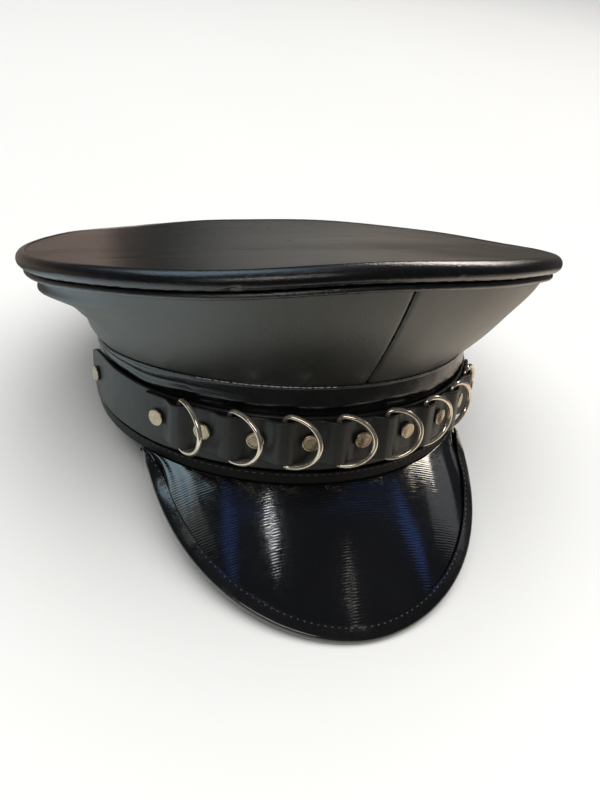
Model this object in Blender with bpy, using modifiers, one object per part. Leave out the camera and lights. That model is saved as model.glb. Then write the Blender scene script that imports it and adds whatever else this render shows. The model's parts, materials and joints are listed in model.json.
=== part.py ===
"""Leather police cap: a stiff oval crown, a head band, two straps with a row of D-rings, and a glossy peak.

Metres. Every piece is made in the cap's own frame: the origin is the centre of the band's lower edge at the
sides, +Z is up, -Y is the front and +X is the right of the picture. An azimuth is 0 at the front and grows
towards +X. The cap then leans back until its peak and the rear of its band stand on Z = 0.
"""

import math

import bmesh
import bpy
import numpy as np
from mathutils import Matrix, Vector

# Head band and its hem
HEAD_HALF_WIDTH = 0.0908
HEAD_HALF_LENGTH = 0.0929
BAND_WALL = 0.0022
BAND_HEIGHT = 0.0388
BAND_FRONT_RISE = 0.0034
BAND_FRONT_DIP = 0.0035
BAND_SINK = 0.0050
BAND_SINK_AT = math.radians(-95.0)
BAND_SINK_SPREAD = math.radians(40.0)
WELT_WALL = 0.0010
WELT_HEIGHT = 0.0045
WELT_FRONT_SPARE = 0.0010
CLEARANCE = 0.0003

# Straps round the band
STRAP_WALL = 0.0016
WIDE_STRAP_WIDTH = 0.0249
WIDE_STRAP_FOOT = 0.0038
WIDE_STRAP_END_RISE = 0.0016
WIDE_STRAP_TIP = 0.0048
WIDE_STRAP_CLIP = 0.0050
WIDE_STRAP_LOW_CLIP = 0.0110
WIDE_STRAP_HIGH_CLIP = 0.0022
LOOSE_FROM = math.radians(-76.0)
LOOSE_TO = math.radians(-86.0)
LOOSE_STAND = 0.0024
RING_STRAP_WIDTH = 0.0201
RING_STRAP_FOOT = 0.0083
RING_STRAP_TIP = 0.0085
RING_STRAP_CLIP = 0.0022

# D-rings and rivets
RING_STANDS = (25, 20, 17, 21, 22, 12, 14, 10)
RING_PITCH = math.radians(13.47)
FIRST_RIVET = math.radians(-48.8)
RING_WIRE = 0.0023
RING_HALF_LENGTH = 0.01165
RING_REACH = 0.0159
RING_CORNER = 0.0030
HUMP_SPARE = 0.0006
RIVET_RADIUS = 0.0038
RIVET_HEIGHT = 0.0012
SIDE_RIVET_TURN = math.radians(33.5)

# Crown
CROWN_SIDE_OVERHANG = 0.0349
CROWN_END_OVERHANG = 0.0355
CROWN_LIFT = 0.0361
CROWN_FRONT_RISE = 0.0195
CROWN_SADDLE = 0.0028
CROWN_SIDE_LIFT = 0.0014
CROWN_WALL = 0.0016
CROWN_SEAM = math.radians(5.5)
ROLL_RADIUS = 0.0038
PIPING_RADIUS = 0.00145
PIPING_INSET = 0.00055
TOP_SINK = 0.0012
TOP_FLAT = 0.35
WALL_PROUD = 0.0006
WALL_SHORT = 0.0012
WALL_SWELL = 0.0018
WALL_FOLD = 0.0080

# Peak
PEAK_HALF_ANGLE = math.radians(57.8)
PEAK_END = math.radians(76.0)
BINDING_END = math.radians(67.0)
PEAK_LENGTH = 0.0662
PEAK_SLOPE = math.radians(38.5)
PEAK_SIDE_SLOPE = math.radians(3.7)
PEAK_FULLNESS = 1.845
PEAK_TAPER = 1.46
PEAK_BOARD = 0.0016
PEAK_TUCK = 0.0020
PEAK_BOW = 0.0016
BINDING_WIDTH = 0.0062
BINDING_WALL = 0.0010

# Facets
AROUND = 60
RING_POINTS = 20
RIVET_SIDES = 12
PEAK_COLUMNS = 36
PEAK_ROWS = 6

# How far the rim strays from a plain oval: azimuth in degrees, swell as a share of the crown's side overhang,
# lift as a share of the crown's front rise.
RIM_ROWS = (
    (0, -0.01, 0.05),
    (30, 0.00, 0.01),
    (60, 0.04, -0.03),
    (90, -0.01, -0.03),
    (120, 0.00, 0.03),
    (150, 0.01, 0.05),
    (180, 0.00, -0.02),
    (210, -0.01, -0.06),
    (240, 0.01, 0.03),
    (270, 0.00, 0.03),
    (300, -0.04, -0.02),
    (330, 0.01, -0.05),
)

# Folds of the side wall: azimuth and spread in degrees, height and spread as shares of the wall, and push as a
# share of WALL_FOLD, outward positive.
FOLD_ROWS = (
    (-104, 34, 0.80, 0.075, 1.10),
    (-100, 28, 0.52, 0.25, -1.30),
    (-100, 28, 0.28, 0.21, -0.32),
    (-64, 12, 0.62, 0.20, 0.16),
    (75, 35, 0.90, 0.27, 0.35),
    (75, 35, 0.20, 0.33, 0.20),
)

# The ring strap over one pitch, rivet to rivet: place as a share of the pitch, lift as a share of the hump.
HUMP_ROWS = (
    (0.00, 0.00),
    (0.17, 0.00),
    (0.30, 0.45),
    (0.41, 0.94),
    (0.50, 1.00),
    (0.60, 1.00),
    (0.71, 0.55),
    (0.83, 0.00),
)

BAND_HALF_WIDTH = HEAD_HALF_WIDTH + BAND_WALL
BAND_HALF_LENGTH = HEAD_HALF_LENGTH + BAND_WALL
RING_COUNT = len(RING_STANDS)
LAST_RIVET = FIRST_RIVET + RING_COUNT * RING_PITCH
WIDE_STRAP_OUT = CLEARANCE + STRAP_WALL
RING_BAR_OUT = WIDE_STRAP_OUT + CLEARANCE + RING_WIRE / 2
RING_STRAP_OUT = WIDE_STRAP_OUT + CLEARANCE + STRAP_WALL
HUMP_HEIGHT = RING_WIRE + CLEARANCE + HUMP_SPARE
STRAP_CENTRE = RING_STRAP_FOOT + RING_STRAP_WIDTH / 2
WELT_OUT = CLEARANCE + WELT_WALL


def polar(azimuth, out, height):
    """Points `out` beyond the band's outer face at each azimuth and height."""
    azimuth, out, height = np.broadcast_arrays(azimuth, out, height)
    return np.stack(
        [
            (BAND_HALF_WIDTH + out) * np.sin(azimuth),
            -(BAND_HALF_LENGTH + out) * np.cos(azimuth),
            height,
        ],
        axis=-1,
    )


def facing(azimuth):
    """The turn about Z that carries -Y to the band's outward normal at this azimuth."""
    return math.atan2(math.sin(azimuth) / BAND_HALF_WIDTH, math.cos(azimuth) / BAND_HALF_LENGTH)


def band_foot(azimuth):
    return -BAND_FRONT_DIP * np.cos(azimuth)


def band_top(azimuth):
    """The crown's seam: highest at the front, and sagging on the left."""
    turn = np.angle(np.exp(1j * (np.asarray(azimuth, float) - BAND_SINK_AT))) / BAND_SINK_SPREAD
    return BAND_HEIGHT + BAND_FRONT_RISE * np.cos(azimuth) - BAND_SINK * np.exp(-(turn**2))


def welt_top(azimuth):
    """The hem's stitched edge, a little higher at the front."""
    return band_foot(azimuth) + WELT_HEIGHT + WELT_FRONT_SPARE * np.maximum(0, np.cos(azimuth))


def strap_foot(azimuth):
    """The wide strap runs level across the front and rises slightly towards its ends."""
    return WIDE_STRAP_FOOT + WIDE_STRAP_END_RISE * (1 - np.cos(azimuth)) ** 2


def strap_out(azimuth):
    """The wide strap lies on the band, and its left end bends away from it."""
    share = np.clip((azimuth - LOOSE_FROM) / (LOOSE_TO - LOOSE_FROM), 0, None)
    return WIDE_STRAP_OUT + LOOSE_STAND * share**2


def strap_facing(azimuth):
    """The turn about Z that carries -Y to the wide strap's outward normal at this azimuth."""
    step = RIVET_RADIUS / BAND_HALF_LENGTH
    near, far = (polar(turn, strap_out(turn), 0.0) for turn in (azimuth - step, azimuth + step))
    return math.atan2(far[1] - near[1], far[0] - near[0])


def rim_rows(azimuth, column):
    """One column of RIM_ROWS, smoothed round the rim with a cosine between its rows."""
    knots = np.radians([row[0] for row in RIM_ROWS] + [360])
    values = np.array([row[column] for row in RIM_ROWS] + [RIM_ROWS[0][column]])
    turn = np.mod(azimuth, 2 * math.pi)
    index = np.clip(np.searchsorted(knots, turn, side="right") - 1, 0, len(RIM_ROWS) - 1)
    share = (turn - knots[index]) / (knots[index + 1] - knots[index])
    share = 0.5 - 0.5 * np.cos(math.pi * share)
    return values[index] * (1 - share) + values[index + 1] * share


def rim(azimuth, inset, drop):
    """Points `inset` inside the rim's widest line and `drop` below the roll's centre."""
    azimuth = np.asarray(azimuth, float)
    side = CROWN_SIDE_OVERHANG * (1 + rim_rows(azimuth, 1)) - inset
    end = CROWN_END_OVERHANG + CROWN_SIDE_OVERHANG * rim_rows(azimuth, 1) - inset
    height = (
        BAND_HEIGHT
        + CROWN_LIFT
        + CROWN_FRONT_RISE * (np.cos(azimuth) + rim_rows(azimuth, 2))
        + CROWN_SADDLE * np.cos(2 * azimuth)
        + CROWN_SIDE_LIFT * np.sin(azimuth)
        - drop
    )
    return np.stack(
        [
            (BAND_HALF_WIDTH + side) * np.sin(azimuth),
            -(BAND_HALF_LENGTH + end) * np.cos(azimuth),
            height,
        ],
        axis=-1,
    )


def outward(azimuth):
    azimuth = np.asarray(azimuth, float)
    return np.stack([np.sin(azimuth), -np.cos(azimuth), np.zeros_like(azimuth)], axis=-1)


def wall_folds(azimuth, share):
    """How far the side wall is pushed outward at each azimuth and share of its height."""
    held = np.sin(math.pi * share)
    push = WALL_SWELL * held + 0 * azimuth
    for degrees, spread, middle, reach, amount in FOLD_ROWS:
        turn = np.angle(np.exp(1j * (azimuth - math.radians(degrees)))) / math.radians(spread)
        push += WALL_FOLD * amount * np.sqrt(held) * np.exp(-(turn**2) - ((share - middle) / reach) ** 2)
    return push


def wall_grid(azimuths, shares):
    """The side wall's outer face, from the band's top to just inside the piping, as rows by columns."""
    azimuths = np.asarray(azimuths, float)
    foot = polar(azimuths, WALL_PROUD, band_top(azimuths) + CLEARANCE)
    cord = rim(azimuths, ROLL_RADIUS + PIPING_INSET, ROLL_RADIUS + CLEARANCE + PIPING_RADIUS)
    across = np.hypot(cord[:, 0] - foot[:, 0], cord[:, 1] - foot[:, 1])
    rise = cord[:, 2] - foot[:, 2]
    span = np.hypot(across, rise)
    keep_off = PIPING_RADIUS + CLEARANCE
    angle = np.arctan2(rise, across) + np.arcsin(keep_off / span)
    length = np.sqrt(span**2 - keep_off**2) - WALL_SHORT
    out, up = np.cos(angle), np.sin(angle)
    shares = np.asarray(shares, float)[:, None]
    push = wall_folds(azimuths[None, :], shares)
    run = shares * length * out + push * up
    climb = shares * length * up - push * out
    grid = foot[None] + run[..., None] * outward(azimuths)[None]
    grid[..., 2] += climb
    return grid


def material(name, colour, roughness, metallic=0.0, coat=0.0):
    made = bpy.data.materials.new(name)
    made.use_nodes = True
    shader = made.node_tree.nodes["Principled BSDF"]
    shader.inputs["Base Color"].default_value = (*colour, 1.0)
    shader.inputs["Roughness"].default_value = roughness
    shader.inputs["Metallic"].default_value = metallic
    shader.inputs["Coat Weight"].default_value = coat
    return made


def grid_faces(rows, columns, closed):
    """Quads between neighbouring rows, wound so that rows running up and columns running to +X face out."""
    last = columns if closed else columns - 1
    return [
        (r * columns + c, r * columns + (c + 1) % columns, (r + 1) * columns + (c + 1) % columns, (r + 1) * columns + c)
        for r in range(rows - 1)
        for c in range(last)
    ]


class Cap:
    """The collection, the parent empty and the pieces placed under it."""

    def __init__(self):
        self.collection = bpy.data.collections.new("police_cap")
        bpy.context.scene.collection.children.link(self.collection)
        self.frame = bpy.data.objects.new("cap_frame", None)
        self.collection.objects.link(self.frame)
        self.pieces = []

    def add(self, name, data, finish):
        piece = bpy.data.objects.new(name, data)
        data.materials.append(finish)
        self.collection.objects.link(piece)
        piece.parent = self.frame
        self.pieces.append(piece)
        return piece

    def mesh(self, name, points, faces, finish):
        data = bpy.data.meshes.new(name)
        data.from_pydata([tuple(p) for p in np.reshape(points, (-1, 3))], [], faces)
        data.validate()
        data.shade_smooth()
        data.set_sharp_from_angle(angle=math.radians(40))
        return self.add(name, data, finish)

    def shell(self, name, grid, closed, wall, finish):
        """A grid surface that faces out, given its wall on the inner side."""
        rows, columns = grid.shape[:2]
        piece = self.mesh(name, grid, grid_faces(rows, columns, closed), finish)
        thicken(piece, wall)
        return piece

    def tube(self, name, points, radius, resolution, finish):
        """A closed round cord along the points."""
        data = bpy.data.curves.new(name, "CURVE")
        data.dimensions = "3D"
        data.twist_mode = "Z_UP"
        data.bevel_depth = radius
        data.bevel_resolution = resolution
        spline = data.splines.new("POLY")
        spline.points.add(len(points) - 1)
        for slot, point in zip(spline.points, points):
            slot.co = (*point, 1.0)
        spline.use_cyclic_u = True
        return self.add(name, data, finish)


def thicken(piece, wall):
    solid = piece.modifiers.new("wall", "SOLIDIFY")
    solid.thickness = wall
    solid.offset = -1.0
    solid.use_even_offset = True


def around():
    return np.linspace(-math.pi, math.pi, AROUND, endpoint=False)


def add_band(cap, leather, hem):
    azimuths = around()
    band = np.stack([polar(azimuths, 0, band_foot(azimuths)), polar(azimuths, 0, band_top(azimuths))])
    cap.shell("band", band, True, BAND_WALL, leather)
    welt = np.stack([polar(azimuths, WELT_OUT, band_foot(azimuths)), polar(azimuths, WELT_OUT, welt_top(azimuths))])
    cap.shell("band_welt", welt, True, WELT_WALL, hem)


def add_wide_strap(cap, leather):
    """The strap's ends are clipped more below than above."""
    tip, clip = WIDE_STRAP_TIP / BAND_HALF_LENGTH, WIDE_STRAP_CLIP / BAND_HALF_LENGTH
    start, end = FIRST_RIVET - SIDE_RIVET_TURN - tip, LAST_RIVET + SIDE_RIVET_TURN + tip
    azimuths = np.concatenate([[start], np.linspace(start + clip, end - clip, AROUND // 2), [end]])
    ends = np.zeros_like(azimuths)
    ends[[0, -1]] = 1.0
    foot = strap_foot(azimuths)
    low = polar(azimuths, strap_out(azimuths), foot + ends * WIDE_STRAP_LOW_CLIP)
    high = polar(azimuths, strap_out(azimuths), foot + WIDE_STRAP_WIDTH - ends * WIDE_STRAP_HIGH_CLIP)
    cap.shell("wide_strap", np.stack([low, high]), False, STRAP_WALL, leather)


def ring_strap_stations():
    """Azimuth, lift and how far each edge is clipped, from one tip of the ring strap to the other."""
    reach = BAND_HALF_LENGTH + RING_STRAP_OUT
    tip, clip = RING_STRAP_TIP / reach, RING_STRAP_CLIP / reach
    stations = [(FIRST_RIVET - tip, 0.0, RING_STRAP_CLIP), (FIRST_RIVET - tip + clip, 0.0, 0.0)]
    for index in range(RING_COUNT):
        start = FIRST_RIVET + index * RING_PITCH
        stations += [(start + place * RING_PITCH, lift * HUMP_HEIGHT, 0.0) for place, lift in HUMP_ROWS]
    stations += [(LAST_RIVET, 0.0, 0.0), (LAST_RIVET + tip - clip, 0.0, 0.0)]
    stations += [(LAST_RIVET + tip, 0.0, RING_STRAP_CLIP)]
    return np.array(stations)


def add_ring_strap(cap, leather):
    azimuths, lifts, clips = ring_strap_stations().T
    out = strap_out(azimuths) + RING_STRAP_OUT - WIDE_STRAP_OUT + lifts
    low = polar(azimuths, out, RING_STRAP_FOOT + clips)
    high = polar(azimuths, out, RING_STRAP_FOOT + RING_STRAP_WIDTH - clips)
    cap.shell("ring_strap", np.stack([low, high]), False, STRAP_WALL, leather)


def ring_outline():
    """The D's centre line as reach from the bar and height, corners and arc as quarter ellipses."""
    straight = RING_HALF_LENGTH - RING_CORNER
    corner = np.linspace(math.pi, math.pi / 2, 4)
    arc = np.linspace(math.pi / 2, 0, RING_POINTS // 2 - 3)
    upper = [(RING_CORNER + RING_CORNER * math.cos(t), straight + RING_CORNER * math.sin(t)) for t in corner]
    reach = RING_REACH - RING_CORNER
    upper += [(RING_CORNER + reach * math.cos(t), RING_HALF_LENGTH * math.sin(t)) for t in arc[1:]]
    return upper + [(out, -height) for out, height in reversed(upper[:-1])]


def add_rings(cap, nickel):
    """Each ring turns about its straight bar, which is its own Z axis, and stands off by its own angle."""
    points = [(out, 0.0, height) for out, height in ring_outline()]
    for index, stand in enumerate(RING_STANDS):
        azimuth = FIRST_RIVET + (index + 0.5) * RING_PITCH
        ring = cap.tube(f"d_ring_{index + 1}", points, RING_WIRE / 2, 1, nickel)
        ring.location = polar(azimuth, RING_BAR_OUT, STRAP_CENTRE)
        ring.rotation_euler = (0.0, 0.0, facing(azimuth) - math.radians(stand))


def rivet_profile():
    """Half section of a cap with a shallow dome and a rolled edge, from its top down to its flat base."""
    shares = ((0.0, 0.90), (0.62, 0.84), (0.80, 1.00), (1.0, 0.45), (0.92, 0.0), (0.0, 0.0))
    return [(RIVET_RADIUS * out, 0.0, RIVET_HEIGHT * up) for out, up in shares]


def add_rivet(cap, name, azimuth, out, height, nickel):
    profile = rivet_profile()
    edges = [(i, i + 1) for i in range(len(profile) - 1)]
    data = bpy.data.meshes.new(name)
    data.from_pydata(profile, edges, [])
    rivet = cap.add(name, data, nickel)
    turn = rivet.modifiers.new("turn", "SCREW")
    turn.steps = turn.render_steps = RIVET_SIDES
    turn.use_merge_vertices = True
    turn.merge_threshold = 0.00001
    rivet.location = polar(azimuth, out + CLEARANCE, height)
    rivet.rotation_euler = (math.pi / 2, 0.0, strap_facing(azimuth))


def add_rivets(cap, nickel):
    on_strap = RING_STRAP_OUT - WIDE_STRAP_OUT
    for index in range(RING_COUNT + 1):
        azimuth = FIRST_RIVET + index * RING_PITCH
        add_rivet(cap, f"rivet_{index + 1}", azimuth, strap_out(azimuth) + on_strap, STRAP_CENTRE, nickel)
    sides = (("rivet_side_left", FIRST_RIVET - SIDE_RIVET_TURN), ("rivet_side_right", LAST_RIVET + SIDE_RIVET_TURN))
    for name, azimuth in sides:
        middle = strap_foot(azimuth) + WIDE_STRAP_WIDTH / 2
        add_rivet(cap, name, azimuth, strap_out(azimuth), middle, nickel)


def add_crown_walls(cap, leather):
    shares = (0.0, 0.14, 0.30, 0.46, 0.60, 0.71, 0.80, 0.89, 1.0)
    half_gap = CLEARANCE / 2 / BAND_HALF_LENGTH
    for name, start in (("crown_wall_right", CROWN_SEAM), ("crown_wall_left", CROWN_SEAM - math.pi)):
        azimuths = np.linspace(start + half_gap, start + math.pi - half_gap, AROUND // 2 + 1)
        cap.shell(name, wall_grid(azimuths, shares), False, CROWN_WALL, leather)


def add_rim(cap, leather, cord):
    azimuths = around()
    cap.tube("crown_roll", rim(azimuths, ROLL_RADIUS, 0.0), ROLL_RADIUS, 3, leather)
    drop = ROLL_RADIUS + CLEARANCE + PIPING_RADIUS
    cap.tube("crown_piping", rim(azimuths, ROLL_RADIUS + PIPING_INSET, drop), PIPING_RADIUS, 1, cord)


def add_crown_top(cap, leather):
    """A flat middle that blends out to the rim's own height, just inside the roll."""
    azimuths = around()
    edge = rim(azimuths, 2 * ROLL_RADIUS + CLEARANCE, TOP_SINK - ROLL_RADIUS)
    middle = edge.mean(axis=0)
    flat = edge - middle
    slope, *_ = np.linalg.lstsq(flat[:, :2], flat[:, 2], rcond=None)
    level = flat[:, :2] @ slope
    rings = []
    for share in (TOP_FLAT, 0.6, 0.82, 1.0):
        blend = ((share - TOP_FLAT) / (1 - TOP_FLAT)) ** 2
        ring = middle + share * flat
        ring[:, 2] = middle[2] + share * level + blend * (flat[:, 2] - level)
        rings.append(ring)
    points = np.concatenate([middle[None], *rings])
    count = AROUND
    faces = [(0, 1 + (c + 1) % count, 1 + c) for c in range(count)]
    for inner in range(len(rings) - 1):
        near, far = 1 + inner * count, 1 + (inner + 1) * count
        faces += [(near + c, near + (c + 1) % count, far + (c + 1) % count, far + c) for c in range(count)]
    top = cap.mesh("crown_top", points, faces, leather)
    face_up(top)
    thicken(top, CROWN_WALL)


def face_up(piece):
    shape = bmesh.new()
    shape.from_mesh(piece.data)
    bmesh.ops.recalc_face_normals(shape, faces=shape.faces)
    if sum(face.normal.z for face in shape.faces) < 0:
        bmesh.ops.reverse_faces(shape, faces=shape.faces)
    shape.to_mesh(piece.data)
    shape.free()


def peak_lengths(shares):
    return PEAK_LENGTH * (1 - np.abs(shares) ** PEAK_FULLNESS) ** PEAK_TAPER


def peak_slopes(shares):
    slope = PEAK_SLOPE + PEAK_SIDE_SLOPE * np.asarray(shares) ** 2
    azimuth = np.asarray(shares) * PEAK_HALF_ANGLE
    down = np.zeros(slope.shape + (3,))
    down[..., 2] = -np.sin(slope)
    return outward(azimuth) * np.cos(slope)[..., None] + down


def peak_root(shares):
    azimuth = np.asarray(shares) * PEAK_HALF_ANGLE
    return polar(azimuth, WELT_OUT, band_foot(azimuth) - CLEARANCE)


def board_lengths(shares):
    """The board stops short of the finished edge by the binding's fold, and by less where it is short."""
    full = peak_lengths(shares)
    fold = CLEARANCE + BINDING_WALL
    return full - fold * full / (full + fold)


def peak_bow(length, reach):
    """Height of the peak's gentle arch at `reach` along a line `length` long."""
    share = np.clip(reach / length, 0, 1)
    return PEAK_BOW * (length / PEAK_LENGTH) * 4 * share * (1 - share)


def peak_points(shares, reach):
    """Points on the peak's upper face, `reach` out from the band along each line."""
    shares = np.asarray(shares, float)
    line = peak_slopes(shares)
    rise = np.stack([-line[..., 0] * 0, line[..., 0] * 0, np.ones(shares.shape)], axis=-1)
    bow = peak_bow(peak_lengths(shares), reach)
    return peak_root(shares) + np.asarray(reach)[..., None] * line + bow[..., None] * rise


def add_peak(cap, patent, bound):
    shares = np.sin(np.linspace(-PEAK_END, PEAK_END, PEAK_COLUMNS + 1))
    lengths = board_lengths(shares)
    azimuths = shares * PEAK_HALF_ANGLE
    tucked = polar(azimuths, WELT_OUT - PEAK_TUCK, band_foot(azimuths) - CLEARANCE)
    rows = [tucked] + [peak_points(shares, lengths * r / PEAK_ROWS) for r in range(PEAK_ROWS + 1)]
    peak = cap.shell("peak", np.stack(rows), False, PEAK_BOARD, patent)
    face_up(peak)
    add_binding(cap, bound)


def add_binding(cap, bound):
    """A strip folded round the peak's edge: a U section carried along it."""
    shares = np.sin(np.linspace(-BINDING_END, BINDING_END, PEAK_COLUMNS + 5))
    lengths = board_lengths(shares)
    edge = peak_points(shares, lengths)
    inner = peak_points(shares, lengths * 0.9)
    along = np.gradient(edge, axis=0)
    along /= np.linalg.norm(along, axis=1, keepdims=True)
    upward = np.cross(along, edge - inner)
    upward /= np.linalg.norm(upward, axis=1, keepdims=True)
    upward *= np.sign(upward[:, 2:3])
    out = np.cross(upward, along)
    out *= np.sign(np.sum(out * (edge - inner), axis=1, keepdims=True))
    width = np.minimum(BINDING_WIDTH - BINDING_WALL - CLEARANCE, lengths * 0.6)
    near, far = CLEARANCE, CLEARANCE + BINDING_WALL
    low, deep = -PEAK_BOARD - near, -PEAK_BOARD - far
    half = PEAK_BOARD / 2
    section = [
        (-1.0, 0.0, near),
        (-1.0, 0.0, far),
        (0.0, near * 0.5, far),
        (0.0, far, -half + half * 0.7),
        (0.0, far, -half - half * 0.7),
        (0.0, near * 0.5, deep),
        (-1.0, 0.0, deep),
        (-1.0, 0.0, low),
        (0.0, near, low),
        (0.0, near, near),
    ]
    loops = [
        edge + out * (width * leg + reach)[:, None] + upward * height
        for leg, reach, height in section
    ]
    points = np.stack(loops, axis=1)
    count, sides = points.shape[:2]
    faces = grid_faces(count, sides, True)
    faces += [tuple(range(sides)), tuple((count - 1) * sides + s for s in reversed(range(sides)))]
    binding = cap.mesh("peak_binding", points, faces, bound)
    shape = bmesh.new()
    shape.from_mesh(binding.data)
    bmesh.ops.triangulate(shape, faces=[face for face in shape.faces if len(face.verts) > 4])
    bmesh.ops.recalc_face_normals(shape, faces=shape.faces)
    shape.to_mesh(binding.data)
    shape.free()


def piece_points(piece, graph):
    evaluated = piece.evaluated_get(graph)
    mesh = evaluated.to_mesh()
    points = np.empty(len(mesh.vertices) * 3, np.float32)
    mesh.vertices.foreach_get("co", points)
    evaluated.to_mesh_clear()
    world = np.array(evaluated.matrix_world)
    return points.reshape(-1, 3) @ world[:3, :3].T + world[:3, 3]


def set_down(cap):
    """Leans the cap back until its lowest front and rear points are level, and centres it over the origin."""
    graph = bpy.context.evaluated_depsgraph_get()
    points = np.concatenate([piece_points(piece, graph) for piece in cap.pieces])
    front, rear = points[points[:, 1] < 0], points[points[:, 1] > 0]
    low, high = 0.0, math.radians(45)
    for _ in range(40):
        lean = (low + high) / 2
        heights = [(-side[:, 1] * math.sin(lean) + side[:, 2] * math.cos(lean)).min() for side in (front, rear)]
        low, high = (lean, high) if heights[0] < heights[1] else (low, lean)
    turn = Matrix.Rotation(-lean, 4, "X")
    stood = points @ np.array(turn)[:3, :3].T
    least, most = stood.min(axis=0), stood.max(axis=0)
    cap.frame.matrix_world = Matrix.Translation(
        Vector((-(least[0] + most[0]) / 2, -(least[1] + most[1]) / 2, -least[2]))
    ) @ turn


def main():
    for item in list(bpy.data.objects):
        bpy.data.objects.remove(item)
    cap = Cap()
    crown_leather = material("crown_leather", (0.020, 0.020, 0.021), 0.42)
    rim_leather = material("rim_leather", (0.018, 0.018, 0.020), 0.38)
    band_leather = material("band_leather", (0.014, 0.014, 0.015), 0.30)
    strap_leather = material("strap_leather", (0.016, 0.016, 0.017), 0.40)
    patent = material("patent_leather", (0.006, 0.006, 0.008), 0.12, coat=1.0)
    bound = material("binding_leather", (0.010, 0.010, 0.012), 0.25, coat=0.6)
    nickel = material("nickel", (0.70, 0.66, 0.60), 0.18, metallic=1.0)
    add_band(cap, band_leather, band_leather)
    add_wide_strap(cap, strap_leather)
    add_ring_strap(cap, strap_leather)
    add_rings(cap, nickel)
    add_rivets(cap, nickel)
    add_crown_walls(cap, crown_leather)
    add_rim(cap, rim_leather, rim_leather)
    add_crown_top(cap, crown_leather)
    add_peak(cap, patent, bound)
    set_down(cap)


main()
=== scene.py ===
"""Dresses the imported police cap: leather, cords, wire and stitches over its solids, light and camera.

Every piece is worked out in the cap's own frame (origin at the centre of the band's lower edge, +Z up
through the crown, -Y to the front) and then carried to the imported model's frame, in metres. An azimuth is 0
at the front and grows towards +X.
"""

import json
import logging
import math
from dataclasses import dataclass, field
from enum import Enum

import bmesh
import bpy
import numpy as np
from mathutils import Matrix
from numpy.typing import NDArray

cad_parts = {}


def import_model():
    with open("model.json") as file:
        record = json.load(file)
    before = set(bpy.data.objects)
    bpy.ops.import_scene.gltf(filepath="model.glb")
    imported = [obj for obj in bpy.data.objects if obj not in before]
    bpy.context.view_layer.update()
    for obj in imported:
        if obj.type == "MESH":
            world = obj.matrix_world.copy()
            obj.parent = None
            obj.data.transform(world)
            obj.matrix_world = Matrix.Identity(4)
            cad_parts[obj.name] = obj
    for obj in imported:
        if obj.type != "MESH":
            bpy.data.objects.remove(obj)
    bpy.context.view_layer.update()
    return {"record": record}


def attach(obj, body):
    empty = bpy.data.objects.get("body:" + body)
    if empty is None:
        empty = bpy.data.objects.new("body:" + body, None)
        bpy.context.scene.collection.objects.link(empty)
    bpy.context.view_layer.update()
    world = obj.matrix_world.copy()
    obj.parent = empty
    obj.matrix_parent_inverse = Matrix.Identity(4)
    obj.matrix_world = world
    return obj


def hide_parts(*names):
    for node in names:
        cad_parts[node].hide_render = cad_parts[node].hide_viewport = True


Array = NDArray[np.float64]
Colour = tuple[float, float, float]
LOG = logging.getLogger("police_cap")
ROOT = "cap"
UP: Array = np.array([0.0, 0.0, 1.0])


class Slot(Enum):
    """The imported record's material slots."""

    CROWN = "crown_leather"
    RIM = "rim_leather"
    BAND = "band_leather"
    STRAP = "strap_leather"
    PATENT = "patent_leather"
    BINDING = "binding_leather"
    NICKEL = "nickel"


@dataclass(frozen=True)
class CapFrame:
    """Where the cap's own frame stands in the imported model's frame."""

    origin: Array
    turn: Array

    def place(self, points: Array) -> Array:
        """Points of the cap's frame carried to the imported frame: turned, then moved by the origin."""
        return points @ self.turn.T + self.origin


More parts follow.
